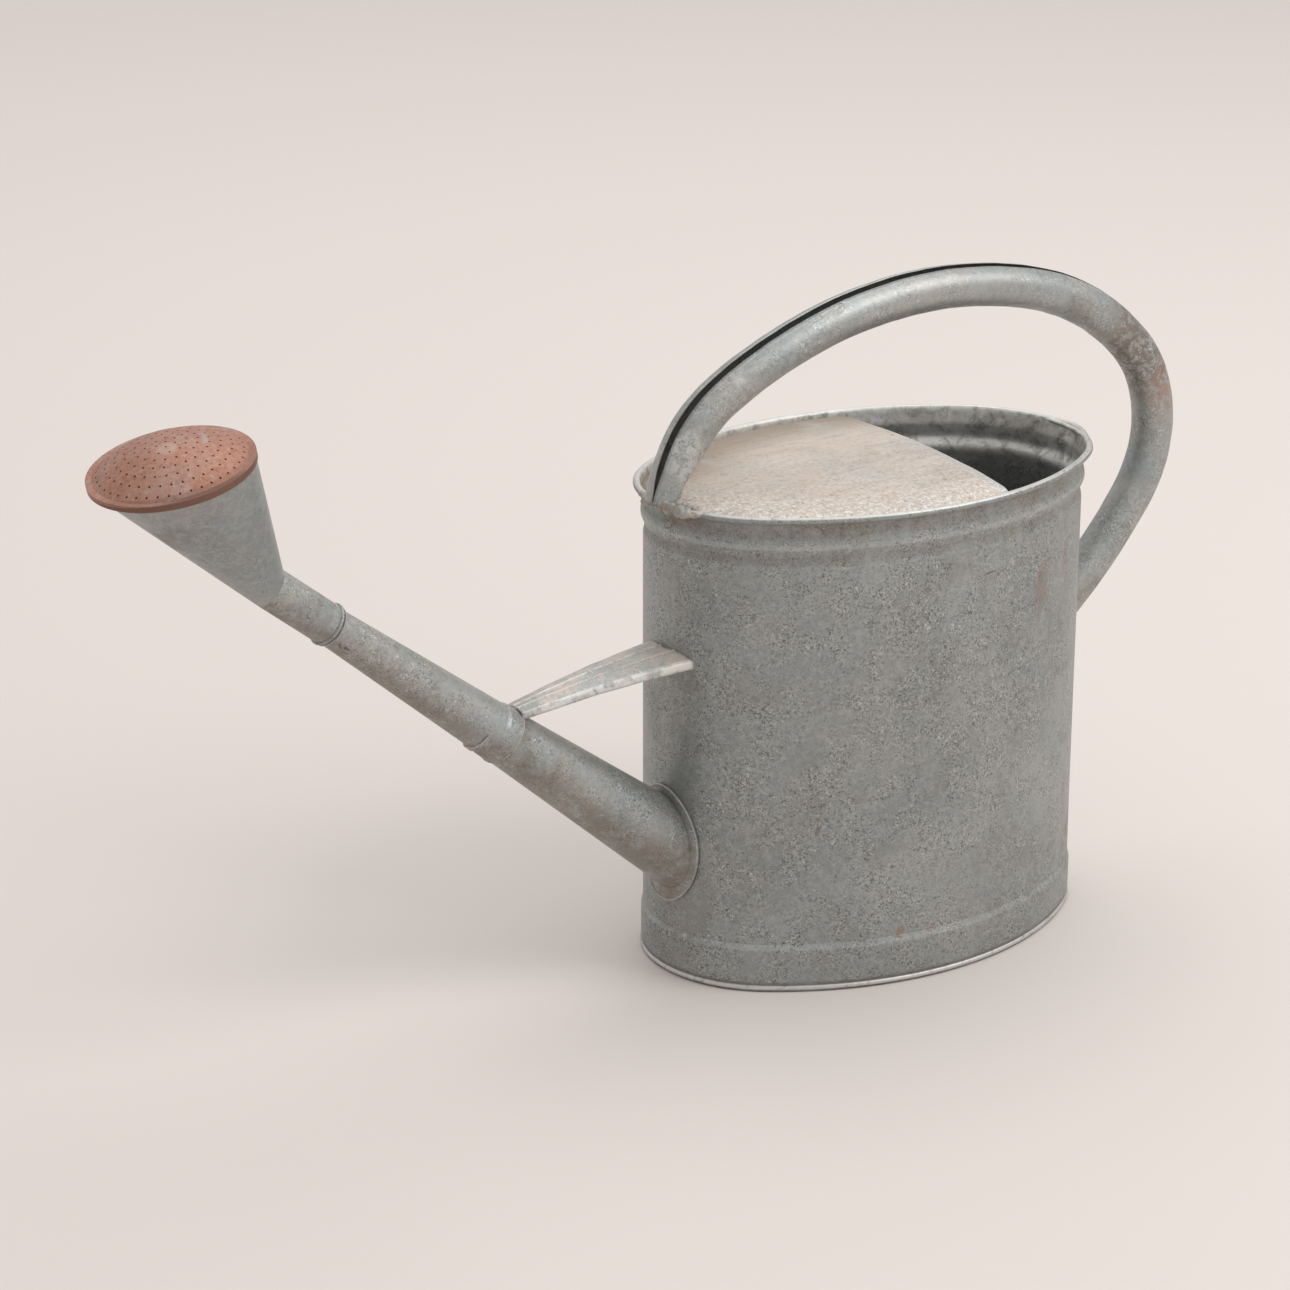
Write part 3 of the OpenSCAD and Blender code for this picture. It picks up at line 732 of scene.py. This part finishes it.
def wall_section(sizes):
    """Closed outline of the wall's sheet from the foot up over groove, bead and rim, as (out, height)."""
    foot, plain, groove, crest, cove = 4.2 * MM, 34 * MM, 27.5 * MM, 19.5 * MM, 11 * MM
    groove_in, crest_out, cove_out = 1.0 * MM, 1.5 * MM, 0.3 * MM
    plain_steps, bend_steps, flare_steps, roll_steps = 46, 9, 5, 17
    roll_from, roll_to = 222, 540
    top, roll = sizes.height, sizes.rim_radius
    roll_out, roll_height = sizes.rim_overhang - roll, top - roll
    flare_out, flare_foot = roll_out - roll + sizes.sheet, top - cove
    stops = [(0, top - plain), (-groove_in, top - groove), (crest_out, top - crest), (cove_out, flare_foot)]
    rise = (top - plain - foot) / plain_steps
    line = [(0, foot + rise * i) for i in range(plain_steps)]
    for start, end in zip(stops, stops[1:]):
        line += ease(start, end, bend_steps)
    line += [(cove_out + (flare_out - cove_out) * i / flare_steps,
              flare_foot + (roll_height - flare_foot) * i / flare_steps) for i in range(flare_steps)]
    inner = [(out - sizes.sheet, height) for out, height in reversed(line)]
    turns = [math.radians(roll_from + (roll_to - roll_from) * i / roll_steps)
             for i in range(roll_steps + 1)]
    rolled = [(roll_out + roll * math.cos(t), roll_height + roll * math.sin(t)) for t in turns]
    return line + rolled + inner


def foot_section():
    """Closed outline of the foot band with soft upper edge and rolled lower edge, as (out, height)."""
    thick, low, high, roll, overhang = 1.15 * MM, 26.0 * MM, 31 * MM, 2.2 * MM, 1.6 * MM
    roll_top, inside, inside_foot, edge = 4.4 * MM, -0.1 * MM, 4.6 * MM, 0.02 * MM
    ease_steps, plain_steps, roll_steps, roll_from, roll_by = 12, 6, 20, 60, -300
    line = ease((edge, high), (thick, low), ease_steps)
    line += [(thick, low - (low - roll_top) * i / plain_steps) for i in range(plain_steps + 1)]
    turns = [math.radians(roll_from + roll_by * i / roll_steps) for i in range(roll_steps + 1)]
    rolled = [(overhang - roll + roll * math.cos(t), roll + roll * math.sin(t)) for t in turns]
    return line + rolled + [(inside, inside_foot), (inside, low)]


def spout_radius(sizes, along):
    """Outside radius of the spout at a distance along it."""
    if along < sizes.joint:
        return sizes.root_radius + (sizes.joint_radius - sizes.root_radius) * along / sizes.joint
    share = (along - sizes.joint) / (sizes.length - sizes.joint)
    return sizes.joint_radius + (sizes.tip_radius - sizes.joint_radius) * share


def on_spout(context, along, around=0.0, out=None):
    """A point at a distance along the spout, an angle round it from its top and a distance from its axis."""
    sizes = context.scene.can_spout
    slope = sizes.slope
    out = spout_radius(sizes, along) if out is None else out
    axis = Vector((-math.cos(slope), 0, math.sin(slope)))
    up = Vector((math.sin(slope), 0, math.cos(slope)))
    start = Vector((-context.scene.can_body.half_length, 0, sizes.height))
    return start + axis * along + up * out * math.cos(around) + Vector((0, out * math.sin(around), 0))


def handle_line(context):
    """The middle of the handle tube, from inside the front rim over the crest to the back wall."""
    body, heading = context.scene.can_body, context.scene.can_handle.lean
    run_in, spacing = 3 * MM, 2 * MM
    spot = Vector((-body.half_length - 0.5 * MM, 0, body.height + 0.3 * MM))
    spot -= Vector((math.cos(heading), 0, math.sin(heading))) * run_in
    points = [spot.copy()]
    # radius in millimetres and turn in degrees of each bend; the first run is straight
    bends = ((3, None), (88, 47.7), (308, 46), (174, 29.6), (78.3, 79.8), (343, 19))
    for radius, turn in bends:
        length = radius * MM if turn is None else radius * MM * math.radians(turn)
        count = max(2, round(length / spacing))
        for _ in range(count):
            step = 0.0 if turn is None else math.radians(turn) / count
            heading -= step / 2
            spot = spot + Vector((math.cos(heading), 0, math.sin(heading))) * length / count
            heading -= step / 2
            points.append(spot.copy())
    return points


# ---------------------------------------------------------------- recipes


def swept_wall_recipe():
    """Sweeps a section round the oval, presses soft dents into it and cuts the spout's hole."""
    r = Recipe("swept wall", {
        "Section": "object", "Hole": "object", "Dent Depth": 0.002, "Dent Size": 0.1, "Half Length": 0.148,
        "Half Width": 0.1, "Kink Depth": 0.0, "Kink X": 0.0, "Kink Y": 0.0, "Kink Size": 0.02})
    path = r.add("GeometryNodeSetCurveNormal", {"Curve": r.curve(r.given["Geometry"])}, mode="Z_UP")
    wall = r.add("GeometryNodeCurveToMesh", {"Curve": path.outputs["Curve"],
                                             "Profile Curve": r.curve(r.shape_of("Section"))})
    x, y, z = (r.axis(letter) for letter in "XYZ")
    away = r.vector("NORMALIZE", r.joined(
        r.sum("DIVIDE", x, r.times(r.given["Half Length"], r.given["Half Length"])),
        r.sum("DIVIDE", y, r.times(r.given["Half Width"], r.given["Half Width"])), 0.0))

    # dents leave out the foot, the bead and the middle planes, where other parts are soldered on
    dents = r.noise(r.sum("DIVIDE", 1.0, r.given["Dent Size"]), 1.5, 0.45, seed=r.given["Seed"])
    off_foot, off_bead = r.step(z, 0.034, 0.080), r.step(z, 0.262, 0.225)
    off_joints = r.step(r.sum("ABSOLUTE", y), 0.034, 0.070)
    push = r.times(r.sum("SUBTRACT", dents, 0.52), 2.0, r.given["Dent Depth"], off_foot, off_bead, off_joints)

    off = r.joined(r.sum("SUBTRACT", x, r.given["Kink X"]), r.sum("SUBTRACT", y, r.given["Kink Y"]), 0.0)
    near = r.step(r.sum("DIVIDE", r.measure("LENGTH", off), r.given["Kink Size"]), 1.0, 0.0)
    kink = r.times(near, r.step(z, 0.270, 0.296), r.given["Kink Depth"])
    moved = r.add("GeometryNodeSetPosition", {
        "Geometry": wall.outputs["Mesh"],
        "Offset": r.vector("SCALE", away, scale=r.sum("ADD", push, kink))})
    cut = r.add("GeometryNodeMeshBoolean", {"Mesh 2": r.shape_of("Hole")}, operation="DIFFERENCE",
                solver="EXACT")
    r.tree.links.new(moved.outputs["Geometry"], cut.inputs["Mesh 1"])
    r.finish(cut.outputs["Mesh"])
    return r


def slit_tube_recipe():
    """Bends a rolled tube along a line, its seam open along the top and its foot tucked at the rim."""
    r = Recipe("slit tube", {
        "Tube Radius": 0.013, "Tube Sheet": 0.0008, "Slit": 0.004, "Foot Pinch": 0.3, "Foot Tuck": 0.3,
        "Seam Turn": 0.2, "Wall Centre": 0.072, "Wall Radius": 0.076, "Foot Height": 0.3})
    grid = r.add("GeometryNodeMeshGrid", {"Size X": 1.0, "Size Y": 1.0, "Vertices X": 300,
                                          "Vertices Y": 61})
    along = r.sum("ADD", r.axis("X"), 0.5)
    across = r.sum("ADD", r.axis("Y"), 0.5)
    at = r.add("GeometryNodeSampleCurve", {"Curves": r.curve(r.given["Geometry"]), "Factor": along},
               mode="FACTOR", use_all_curves=True)
    heading, middle = at.outputs["Tangent"], at.outputs["Position"]
    top = r.vector("CROSS_PRODUCT", heading, (0, 1, 0))

    # once across the grid goes round the outside of the sheet and back round its inside
    opening = r.times(r.step(along, 0.0, 0.035), r.step(along, 0.70, 0.42))
    gap = r.sum("MULTIPLY_ADD", opening, r.given["Slit"], 0.5 * MM)
    reach = r.sum("SUBTRACT", math.pi, r.sum("DIVIDE", gap, r.times(r.given["Tube Radius"], 2.0)))
    folded = r.sum("ABSOLUTE", r.sum("SUBTRACT", r.times(across, 2.0), 1.0))
    turn = r.times(reach, r.sum("SUBTRACT", 1.0, r.times(folded, 2.0)))
    turn = r.sum("ADD", turn, r.given["Seam Turn"])
    inside = r.times(r.sum("GREATER_THAN", across, 0.501), r.sum("LESS_THAN", across, 0.999))
    out = r.sum("SUBTRACT", r.given["Tube Radius"], r.times(inside, r.given["Tube Sheet"]))

    rise = r.times(r.sum("COSINE", turn), out, -1.0)
    front = r.times(r.sum("MAXIMUM", rise, 0.0), r.ramp(along, 0.008, 0.085, r.given["Foot Pinch"], 1.0))
    back = r.times(r.sum("MINIMUM", rise, 0.0), r.ramp(along, 0.008, 0.055, r.given["Foot Tuck"], 1.0))
    aside = r.times(r.sum("SINE", turn), out)
    spot = r.vector("ADD", middle, r.vector("SCALE", top, scale=r.sum("ADD", front, back)))
    spot = r.vector("ADD", spot, r.joined(0.0, aside, 0.0))
    bumps = r.noise(45, 2, place=spot, seed=r.given["Seed"])
    bumps = r.times(r.sum("SUBTRACT", bumps, 0.75), 1.2 * MM)
    spot = r.vector("ADD", spot, r.vector("SCALE", top, scale=bumps))

    # the tail ends on the wall and the foot on the rim: what is past them slides back along the tube
    radius_squared = r.times(r.given["Wall Radius"], r.given["Wall Radius"])
    reach_out = r.sum("MAXIMUM", r.sum("SUBTRACT", radius_squared, r.times(aside, aside)), 0.0)
    wall = r.sum("ADD", r.given["Wall Centre"], r.sum("SQRT", reach_out))
    past_wall = r.times(r.sum("MAXIMUM", r.sum("SUBTRACT", wall, r.axis("X", spot)), 0.0),
                        r.sum("GREATER_THAN", along, 0.8))
    under_rim = r.sum("SUBTRACT", r.given["Foot Height"], r.axis("Z", spot))
    under_rim = r.times(r.sum("MAXIMUM", under_rim, 0.0), r.sum("LESS_THAN", along, 0.2))
    slide = r.sum("DIVIDE", past_wall, r.sum("MINIMUM", r.axis("X", heading), -0.2))
    slide = r.sum("ADD", slide, r.sum("DIVIDE", under_rim, r.sum("MAXIMUM", r.axis("Z", heading), 0.2)))
    spot = r.vector("ADD", spot, r.vector("SCALE", heading, scale=slide))
    tube = r.add("GeometryNodeSetPosition", {"Geometry": grid.outputs["Mesh"], "Position": spot})
    sealed = r.add("GeometryNodeMergeByDistance", {"Geometry": tube.outputs["Geometry"],
                                                   "Distance": 0.02 * MM})
    r.finish(sealed.outputs["Geometry"])
    return r


def solder_recipe():
    """Runs a lumpy bead of solder along a line."""
    r = Recipe("solder seam", {"Bead Radius": 0.0015, "Lump Depth": 0.0008, "Lump Size": 0.004})
    path = r.add("GeometryNodeResampleCurve", {"Curve": r.curve(r.given["Geometry"]), "Length": 0.7 * MM},
                 mode="LENGTH")
    ring = r.add("GeometryNodeCurvePrimitiveCircle", {"Resolution": 14, "Radius": r.given["Bead Radius"]})
    thick = r.add("GeometryNodeInputNamedAttribute", {"Name": "thick"}, data_type="FLOAT")
    bead = r.add("GeometryNodeCurveToMesh", {
        "Curve": path.outputs["Curve"], "Profile Curve": ring.outputs["Curve"],
        "Scale": thick.outputs["Attribute"], "Fill Caps": True})
    out = r.add("GeometryNodeInputNormal").outputs["Normal"]
    lumps = r.noise(r.sum("DIVIDE", 1.0, r.given["Lump Size"]), 3, 0.5, seed=r.given["Seed"])
    push = r.times(r.sum("SUBTRACT", lumps, 0.5), 2.0, r.given["Lump Depth"])
    lumpy = r.add("GeometryNodeSetPosition", {"Geometry": bead.outputs["Mesh"],
                                              "Offset": r.vector("SCALE", out, scale=push)})
    r.finish(lumpy.outputs["Geometry"])
    return r


# ---------------------------------------------------------------- operators


class CAN_OT_finish_frame(bpy.types.Operator):
    """Give the frame's own parts their weathered finishes"""

    bl_idname = "can.finish_frame"
    bl_label = "Finish Frame Parts"

    def execute(self, context):
        spout = zinc("streaky zinc spout")
        finishes = {
            "half_cover": dirty_cover_zinc("dirty cover zinc"), "handle": zinc("worn zinc handle"),
            "foot_ring": zinc("zinc foot"), "spout_brace": zinc("dirty brace zinc"),
            "spout_lower": spout, "spout_upper": spout, "spout_collar": spout,
            "rose_socket": spout, "rose_cone": zinc("zinc rose"), "rose_face": aged_copper("aged copper"),
        }
        for name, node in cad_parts.items():
            give_material(node, finishes.get(name, zinc("weathered zinc wall")))
        return {"FINISHED"}


class CAN_OT_wall(bpy.types.Operator):
    """Sweep the oval wall with its bead, rolled rim and soft dents, and its foot band"""

    bl_idname = "can.wall"
    bl_label = "Build Wall"

    def execute(self, context):
        sizes = context.scene.can_body
        around, reach, spacing = 48, 30 * MM, 2.6 * MM
        bore = context.scene.can_spout.root_radius - sizes.sheet
        ends = [on_spout(context, along, turn * math.tau / around, bore)
                for along in (-reach, reach) for turn in range(around)]
        sides = [(i, (i + 1) % around, around + (i + 1) % around, around + i) for i in range(around)]
        caps = [tuple(range(around - 1, -1, -1)), tuple(range(around, 2 * around))]
        hole = mesh_object("hole", ends, (), caps + sides)

        recipe = swept_wall_recipe()
        for name, outline, finish, node, damage in (
            ("body_wall", wall_section(sizes), "weathered zinc wall", "body_shell",
             dict(dent_depth=sizes.dent_depth, dent_size=sizes.dent_size, kink_depth=sizes.kink_depth,
                  kink_x=sizes.kink_place[0], kink_y=sizes.kink_place[1], kink_size=0.030, seed=3.0)),
            ("foot_band", foot_section(), "zinc foot", "foot_ring", dict(dent_depth=0.0)),
        ):
            section = line_object(name + " section", [(out, -height, 0) for out, height in outline], True)
            base = line_object(name + " line", oval_line(sizes, 0.0, spacing), True)
            piece = recipe.run(name, base, section=section, hole=hole, half_length=sizes.half_length,
                               half_width=sizes.half_width, **damage)
            bpy.data.objects.remove(section)
            settle(piece, "can", "weathered_zinc", zinc(finish), node)
        bpy.data.objects.remove(hole)
        return {"FINISHED"}


class CAN_OT_handle(bpy.types.Operator):
    """Bend the rolled handle tube with its open seam"""

    bl_idname = "can.handle"
    bl_label = "Build Handle"

    def execute(self, context):
        sizes, body = context.scene.can_handle, context.scene.can_body
        base = line_object("handle line", handle_line(context))
        (centre, _), radius, _, _ = oval_arcs(body)[0]
        tube = slit_tube_recipe().run(
            "handle_tube", base, tube_radius=sizes.radius, tube_sheet=sizes.sheet, slit=sizes.slit,
            seam_turn=sizes.seam_turn, foot_pinch=sizes.foot_pinch, foot_tuck=sizes.foot_tuck,
            wall_centre=centre, wall_radius=radius, foot_height=body.height - 1.2 * MM, seed=5.0)
        settle(tube, "can", "handle_zinc", zinc("worn zinc handle"), "handle")
        return {"FINISHED"}


class CAN_OT_brace(bpy.types.Operator):
    """Fold the ribbed brace between the spout and the wall"""

    bl_idname = "can.brace"
    bl_label = "Build Brace"

    def execute(self, context):
        body, spout = context.scene.can_body, context.scene.can_spout
        foot_out = spout_radius(spout, spout.brace_reach) + 1.0 * MM
        foot = on_spout(context, spout.brace_reach, 0.0, foot_out)
        head = Vector((-body.half_length, 0, spout.brace_height))
        bow, along_count, across_count = 1.6 * MM, 70, 80
        near, far, spout_half = 24.0 * MM, 21 * MM, 8.4 * MM
        lip, rib_rise, rib_place, rib_width = 4.2 * MM, 1.1 * MM, (-0.36, 0.18), 0.045
        slope_drop, ripple = 3.4 * MM, 0.35 * MM
        # shares of the half width where the flank and the folded lip start, and where the lip hangs
        flank_from, fold_from, fold_at = 0.50, 0.93, 0.95
        rows = []
        for i in range(along_count + 1):
            u = i / along_count
            row = []
            for j in range(across_count + 1):
                v = -1 + 2 * j / across_count
                half = spout_half + ((near if v < 0 else far) - spout_half) * u
                flank = max(0.0, abs(v) - flank_from) / (1 - flank_from)
                folded = max(0.0, abs(v) - fold_from) / (1 - fold_from)
                y = min(abs(v), fold_at) / fold_at * half * (1 if v > 0 else -1)
                drop = slope_drop * (0.35 + 0.65 * u) * flank ** 1.4 + lip * folded
                ribs = sum(math.exp(-((v - place) / rib_width) ** 2) for place in rib_place)
                middle = foot.lerp(head, u) + Vector((0, 0, bow * 4 * u * (1 - u)))
                reach = (front_of_oval(body, y) - body.half_length) * -u
                spot = middle + Vector((reach, y, ribs * rib_rise - drop))
                spot.z += ripple * noise.noise(spot * 70)
                row.append(spot)
            rows.append(row)
        brace = thickened(grid_piece("spout_brace_sheet", rows), body.sheet)
        settle(brace, "can", "weathered_zinc", zinc("dirty brace zinc"), "spout_brace")
        return {"FINISHED"}


class CAN_OT_cover(bpy.types.Operator):
    """Dome the half cover with its steep flank, soft dents and folded free edge"""

    bl_idname = "can.cover"
    bl_label = "Build Cover"

    def execute(self, context):
        sizes = context.scene.can_body
        grow, hem, hem_drop, hem_fade, ripple = 0.8 * MM, 6.0 * MM, 0.5 * MM, 2 * MM, 0.5 * MM
        flank_width, ripple_fade = 11 * MM, 15 * MM
        edge_step, edge_rows, far_rows, columns = 0.8 * MM, 12, 90, 100
        skew = sizes.cover_skew
        ahead = Vector((math.cos(skew), -math.sin(skew)))
        along = Vector((math.sin(skew), math.cos(skew)))
        (centre, _), radius, _, _ = oval_arcs(sizes)[0]
        start = Vector((sizes.cover_edge, 0))
        tip = Vector((-centre, 0)) - ahead * (radius + grow)
        length = (start - tip).dot(ahead)

        rows = []
        depths = [edge_step * i for i in range(edge_rows)]
        last = depths[-1]
        rest = length - 0.02 * MM - last
        depths += [last + rest * math.sin(math.pi / 2 * i / far_rows) for i in range(1, far_rows + 1)]
        for depth in depths:
            middle = start.lerp(tip, depth / length)
            near, far = (way_to_rim(sizes, middle, way, grow) for way in (-along, along))
            row = []
            for j in range(columns, -1, -1):
                v = math.sin(math.pi / 2 * (2 * j / columns - 1))
                spot = middle + along * (v * (far if v > 0 else near))
                inward = max(0.0, depth_in_oval(sizes, spot.x, spot.y, grow))
                inside = min(1.0, inward / flank_width)
                flank = sizes.cover_flank * math.sin(math.pi / 2 * inside)
                share = (spot.x / sizes.half_length) ** 2 + (spot.y / sizes.half_width) ** 2
                dome = sizes.cover_rise * max(0.0, 1 - share) ** 0.9
                fold = hem_drop * (1 - min(1.0, max(0.0, (depth - hem) / hem_fade)))
                height = sizes.height - sizes.cover_drop + flank + dome - fold * inside
                wave = ripple * noise.noise(Vector((spot.x * 22, spot.y * 34, 7.0)))
                wave *= min(1.0, inward / ripple_fade)
                row.append(Vector((spot.x, spot.y, height + wave)))
            rows.append(row)
        cover = thickened(grid_piece("half_cover_dome", rows), 2 * sizes.sheet)
        settle(cover, "can", "dirty_cover_zinc", bpy.data.materials["dirty cover zinc"], "half_cover")
        return {"FINISHED"}


class CAN_OT_solder(bpy.types.Operator):
    """Run the lumpy solder seams at the handle, collar, spout joint, brace and rose"""

    bl_idname = "can.solder"
    bl_label = "Build Solder"

    def execute(self, context):
        body, spout = context.scene.can_body, context.scene.can_spout
        joint, mouth = spout_radius(spout, spout.joint), spout_radius(spout, SOCKET_MOUTH)

        def rim_part(grow, height, first, last):
            return oval_line(body, grow, 1.2 * MM, height, math.radians(first), math.radians(last))

        def on_wall(y, grow, height):
            return Vector((-front_of_oval(body, y, grow), y, height))

        # the handle's foot, outside under the rim and on top of it
        foot = [p + Vector((0, 0, 0.8 * MM * math.cos(40 * p.y)))
                for p in rim_part(4.6 * MM, body.height - 2.6 * MM, 171, 193)]
        ledge = rim_part(1.6 * MM, body.height + 0.2 * MM, 174, 191)
        # the joint of the spout's two parts, a fine line all round and lumps under it
        lap = [on_spout(context, spout.joint - 9.8 * MM, math.radians(turn), joint + 1.15 * MM)
               for turn in range(0, 360, 6)]
        lumps = [on_spout(context, spout.joint + (4 + 6 * (turn - 105) / 150) * MM, math.radians(turn),
                          joint + 0.1 * MM) for turn in range(105, 256, 5)]
        # the collar's edge on the wall, the brace's end on the wall, and the mouth of the rose's socket
        collar = [on_wall(28.0 * MM * math.sin(math.radians(turn)), 1.2 * MM,
                          spout.height - 1.5 * MM + 36.5 * MM * math.cos(math.radians(turn)))
                  for turn in range(0, 360, 5)]
        brace = [on_wall(y * MM, 0.3 * MM, spout.brace_height - (2.2 + 0.008 * y * y) * MM)
                 for y in range(-22, 21)]
        socket = [on_spout(context, SOCKET_MOUTH, math.radians(turn), mouth + 0.8 * MM)
                  for turn in range(0, 360, 6)]
        # name, body, line, closed or not, and bead radius, lump depth and lump size in millimetres
        seams = (("solder_handle_foot", "can", foot, False, 3.6, 4.6, 6.0),
                 ("solder_handle_ledge", "can", ledge, False, 3.1, 3.8, 4.6),
                 ("solder_spout_lap", "can", lap, True, 0.42, 0.2, 4.0),
                 ("solder_spout_joint", "can", lumps, False, 1.4, 1.8, 7.0),
                 ("solder_collar", "can", collar, True, 0.75, 0.35, 6.0),
                 ("solder_brace", "can", brace, False, 0.8, 0.6, 4.0),
                 ("solder_socket_mouth", "rose", socket, True, 0.45, 0.3, 3.0))
        recipe = solder_recipe()
        for number, (name, rides_on, points, closed, radius, depth, size) in enumerate(seams):
            last = len(points) - 1
            thick = [1.0 if closed else (0.35 + 0.65 * math.sin(math.pi * i / last) ** 0.5)
                     * (1 + 0.6 * noise.noise(Vector((0.45 * i, number, 0.5)))) for i in range(last + 1)]
            line = line_object(name + " line", points, closed, thick)
            bead = recipe.run(name, line, bead_radius=radius * MM, lump_depth=depth * MM,
                              lump_size=size * MM, seed=float(number))
            settle(bead, rides_on, "weathered_zinc", zinc("dull solder"))
        return {"FINISHED"}


class CAN_OT_stage(bpy.types.Operator):
    """Lay the pale floor, hang the soft lamps and set the camera"""

    bl_idname = "can.stage"
    bl_label = "Set Stage"

    def execute(self, context):
        scene, sizes = context.scene, context.scene.can_stage
        scene.view_settings.view_transform = "Standard"

        half = 30
        corners = [(-half, -half, 0), (half, -half, 0), (half, half, 0), (-half, half, 0)]
        floor = mesh_object("floor", corners, (), [(0, 1, 2, 3)])
        pale = Finish("pale floor")
        # painted light: the floor grows paler toward the back, making up for the lamps' light falling off
        # there
        behind = pale.measure("DOT_PRODUCT", pale.place, (0.57, 0.82, 0))
        far_colour = [min(0.9, part) for part in toned(sizes.floor_colour, 1.16)]
        colour = pale.blend(pale.step(behind, 0.1, 3.5), sizes.floor_colour, far_colour)
        pale.feed(pale.shader.inputs["Base Color"], colour)
        pale.feed(pale.shader.inputs["Roughness"], 0.9)
        give_material(floor, pale.material)

        world = bpy.data.worlds.new("soft studio")
        scene.world = world
        world.use_nodes = True
        sky = world.node_tree.nodes["Background"]
        sky.inputs["Color"].default_value = (1.0, 0.99, 0.98, 1)
        sky.inputs["Strength"].default_value = 0.70

        for name, place, size, power in (
            ("key lamp", (1.3, -1.7, 2.2), 1.6, 34),
            ("top lamp", (0.6, 0.9, 2.8), 2.4, 24),
        ):
            light = bpy.data.lights.new(name, "AREA")
            light.size = size
            light.energy = power
            lamp = bpy.data.objects.new(name, light)
            lamp.location = place
            aim = Vector((0, 0, 0.15)) - Vector(place)
            lamp.rotation_euler = aim.to_track_quat("-Z", "Y").to_euler()
            scene.collection.objects.link(lamp)

        camera = bpy.data.objects.new("camera", bpy.data.cameras.new("camera"))
        camera.data.lens = sizes.lens
        camera.data.sensor_width = 36
        turn, rise = math.radians(sizes.azimuth), math.radians(sizes.elevation)
        back = Vector((math.sin(turn) * math.cos(rise), -math.cos(turn) * math.cos(rise),
                       math.sin(rise)))
        camera.location = Vector(sizes.target) + back * sizes.distance
        camera.rotation_mode = "QUATERNION"
        camera.rotation_quaternion = (-back).to_track_quat("-Z", "Y")
        scene.collection.objects.link(camera)
        scene.camera = camera
        return {"FINISHED"}


class CAN_PT_panel(bpy.types.Panel):
    """Sizes, colours and steps of the watering can"""

    bl_label = "Watering Can"
    bl_space_type = "VIEW_3D"
    bl_region_type = "UI"
    bl_category = "Watering Can"

    def draw(self, context):
        layout = self.layout
        for group in GROUPS.values():
            settings = getattr(context.scene, group)
            for name in settings.bl_rna.properties.keys():
                if name not in ("rna_type", "name"):
                    layout.prop(settings, name)
        for step in STEPS:
            layout.operator(step.bl_idname)


GROUPS = {CanColours: "can_colours", BodySizes: "can_body", HandleSizes: "can_handle",
          SpoutSizes: "can_spout", StageSizes: "can_stage"}
STEPS = (CAN_OT_finish_frame, CAN_OT_wall, CAN_OT_handle, CAN_OT_brace, CAN_OT_cover, CAN_OT_solder,
         CAN_OT_stage)


def register():
    for item in (*GROUPS, *STEPS, CAN_PT_panel):
        bpy.utils.register_class(item)
    for group, name in GROUPS.items():
        setattr(bpy.types.Scene, name, PointerProperty(type=group))


def unregister():
    for name in GROUPS.values():
        delattr(bpy.types.Scene, name)
    for item in reversed((*GROUPS, *STEPS, CAN_PT_panel)):
        bpy.utils.unregister_class(item)


def main():
    register()
    bpy.ops.can.finish_frame()
    bpy.ops.can.wall()
    bpy.ops.can.handle()
    bpy.ops.can.brace()
    bpy.ops.can.cover()
    bpy.ops.can.solder()
    bpy.ops.can.stage()


if __name__ == "__main__":
    main()
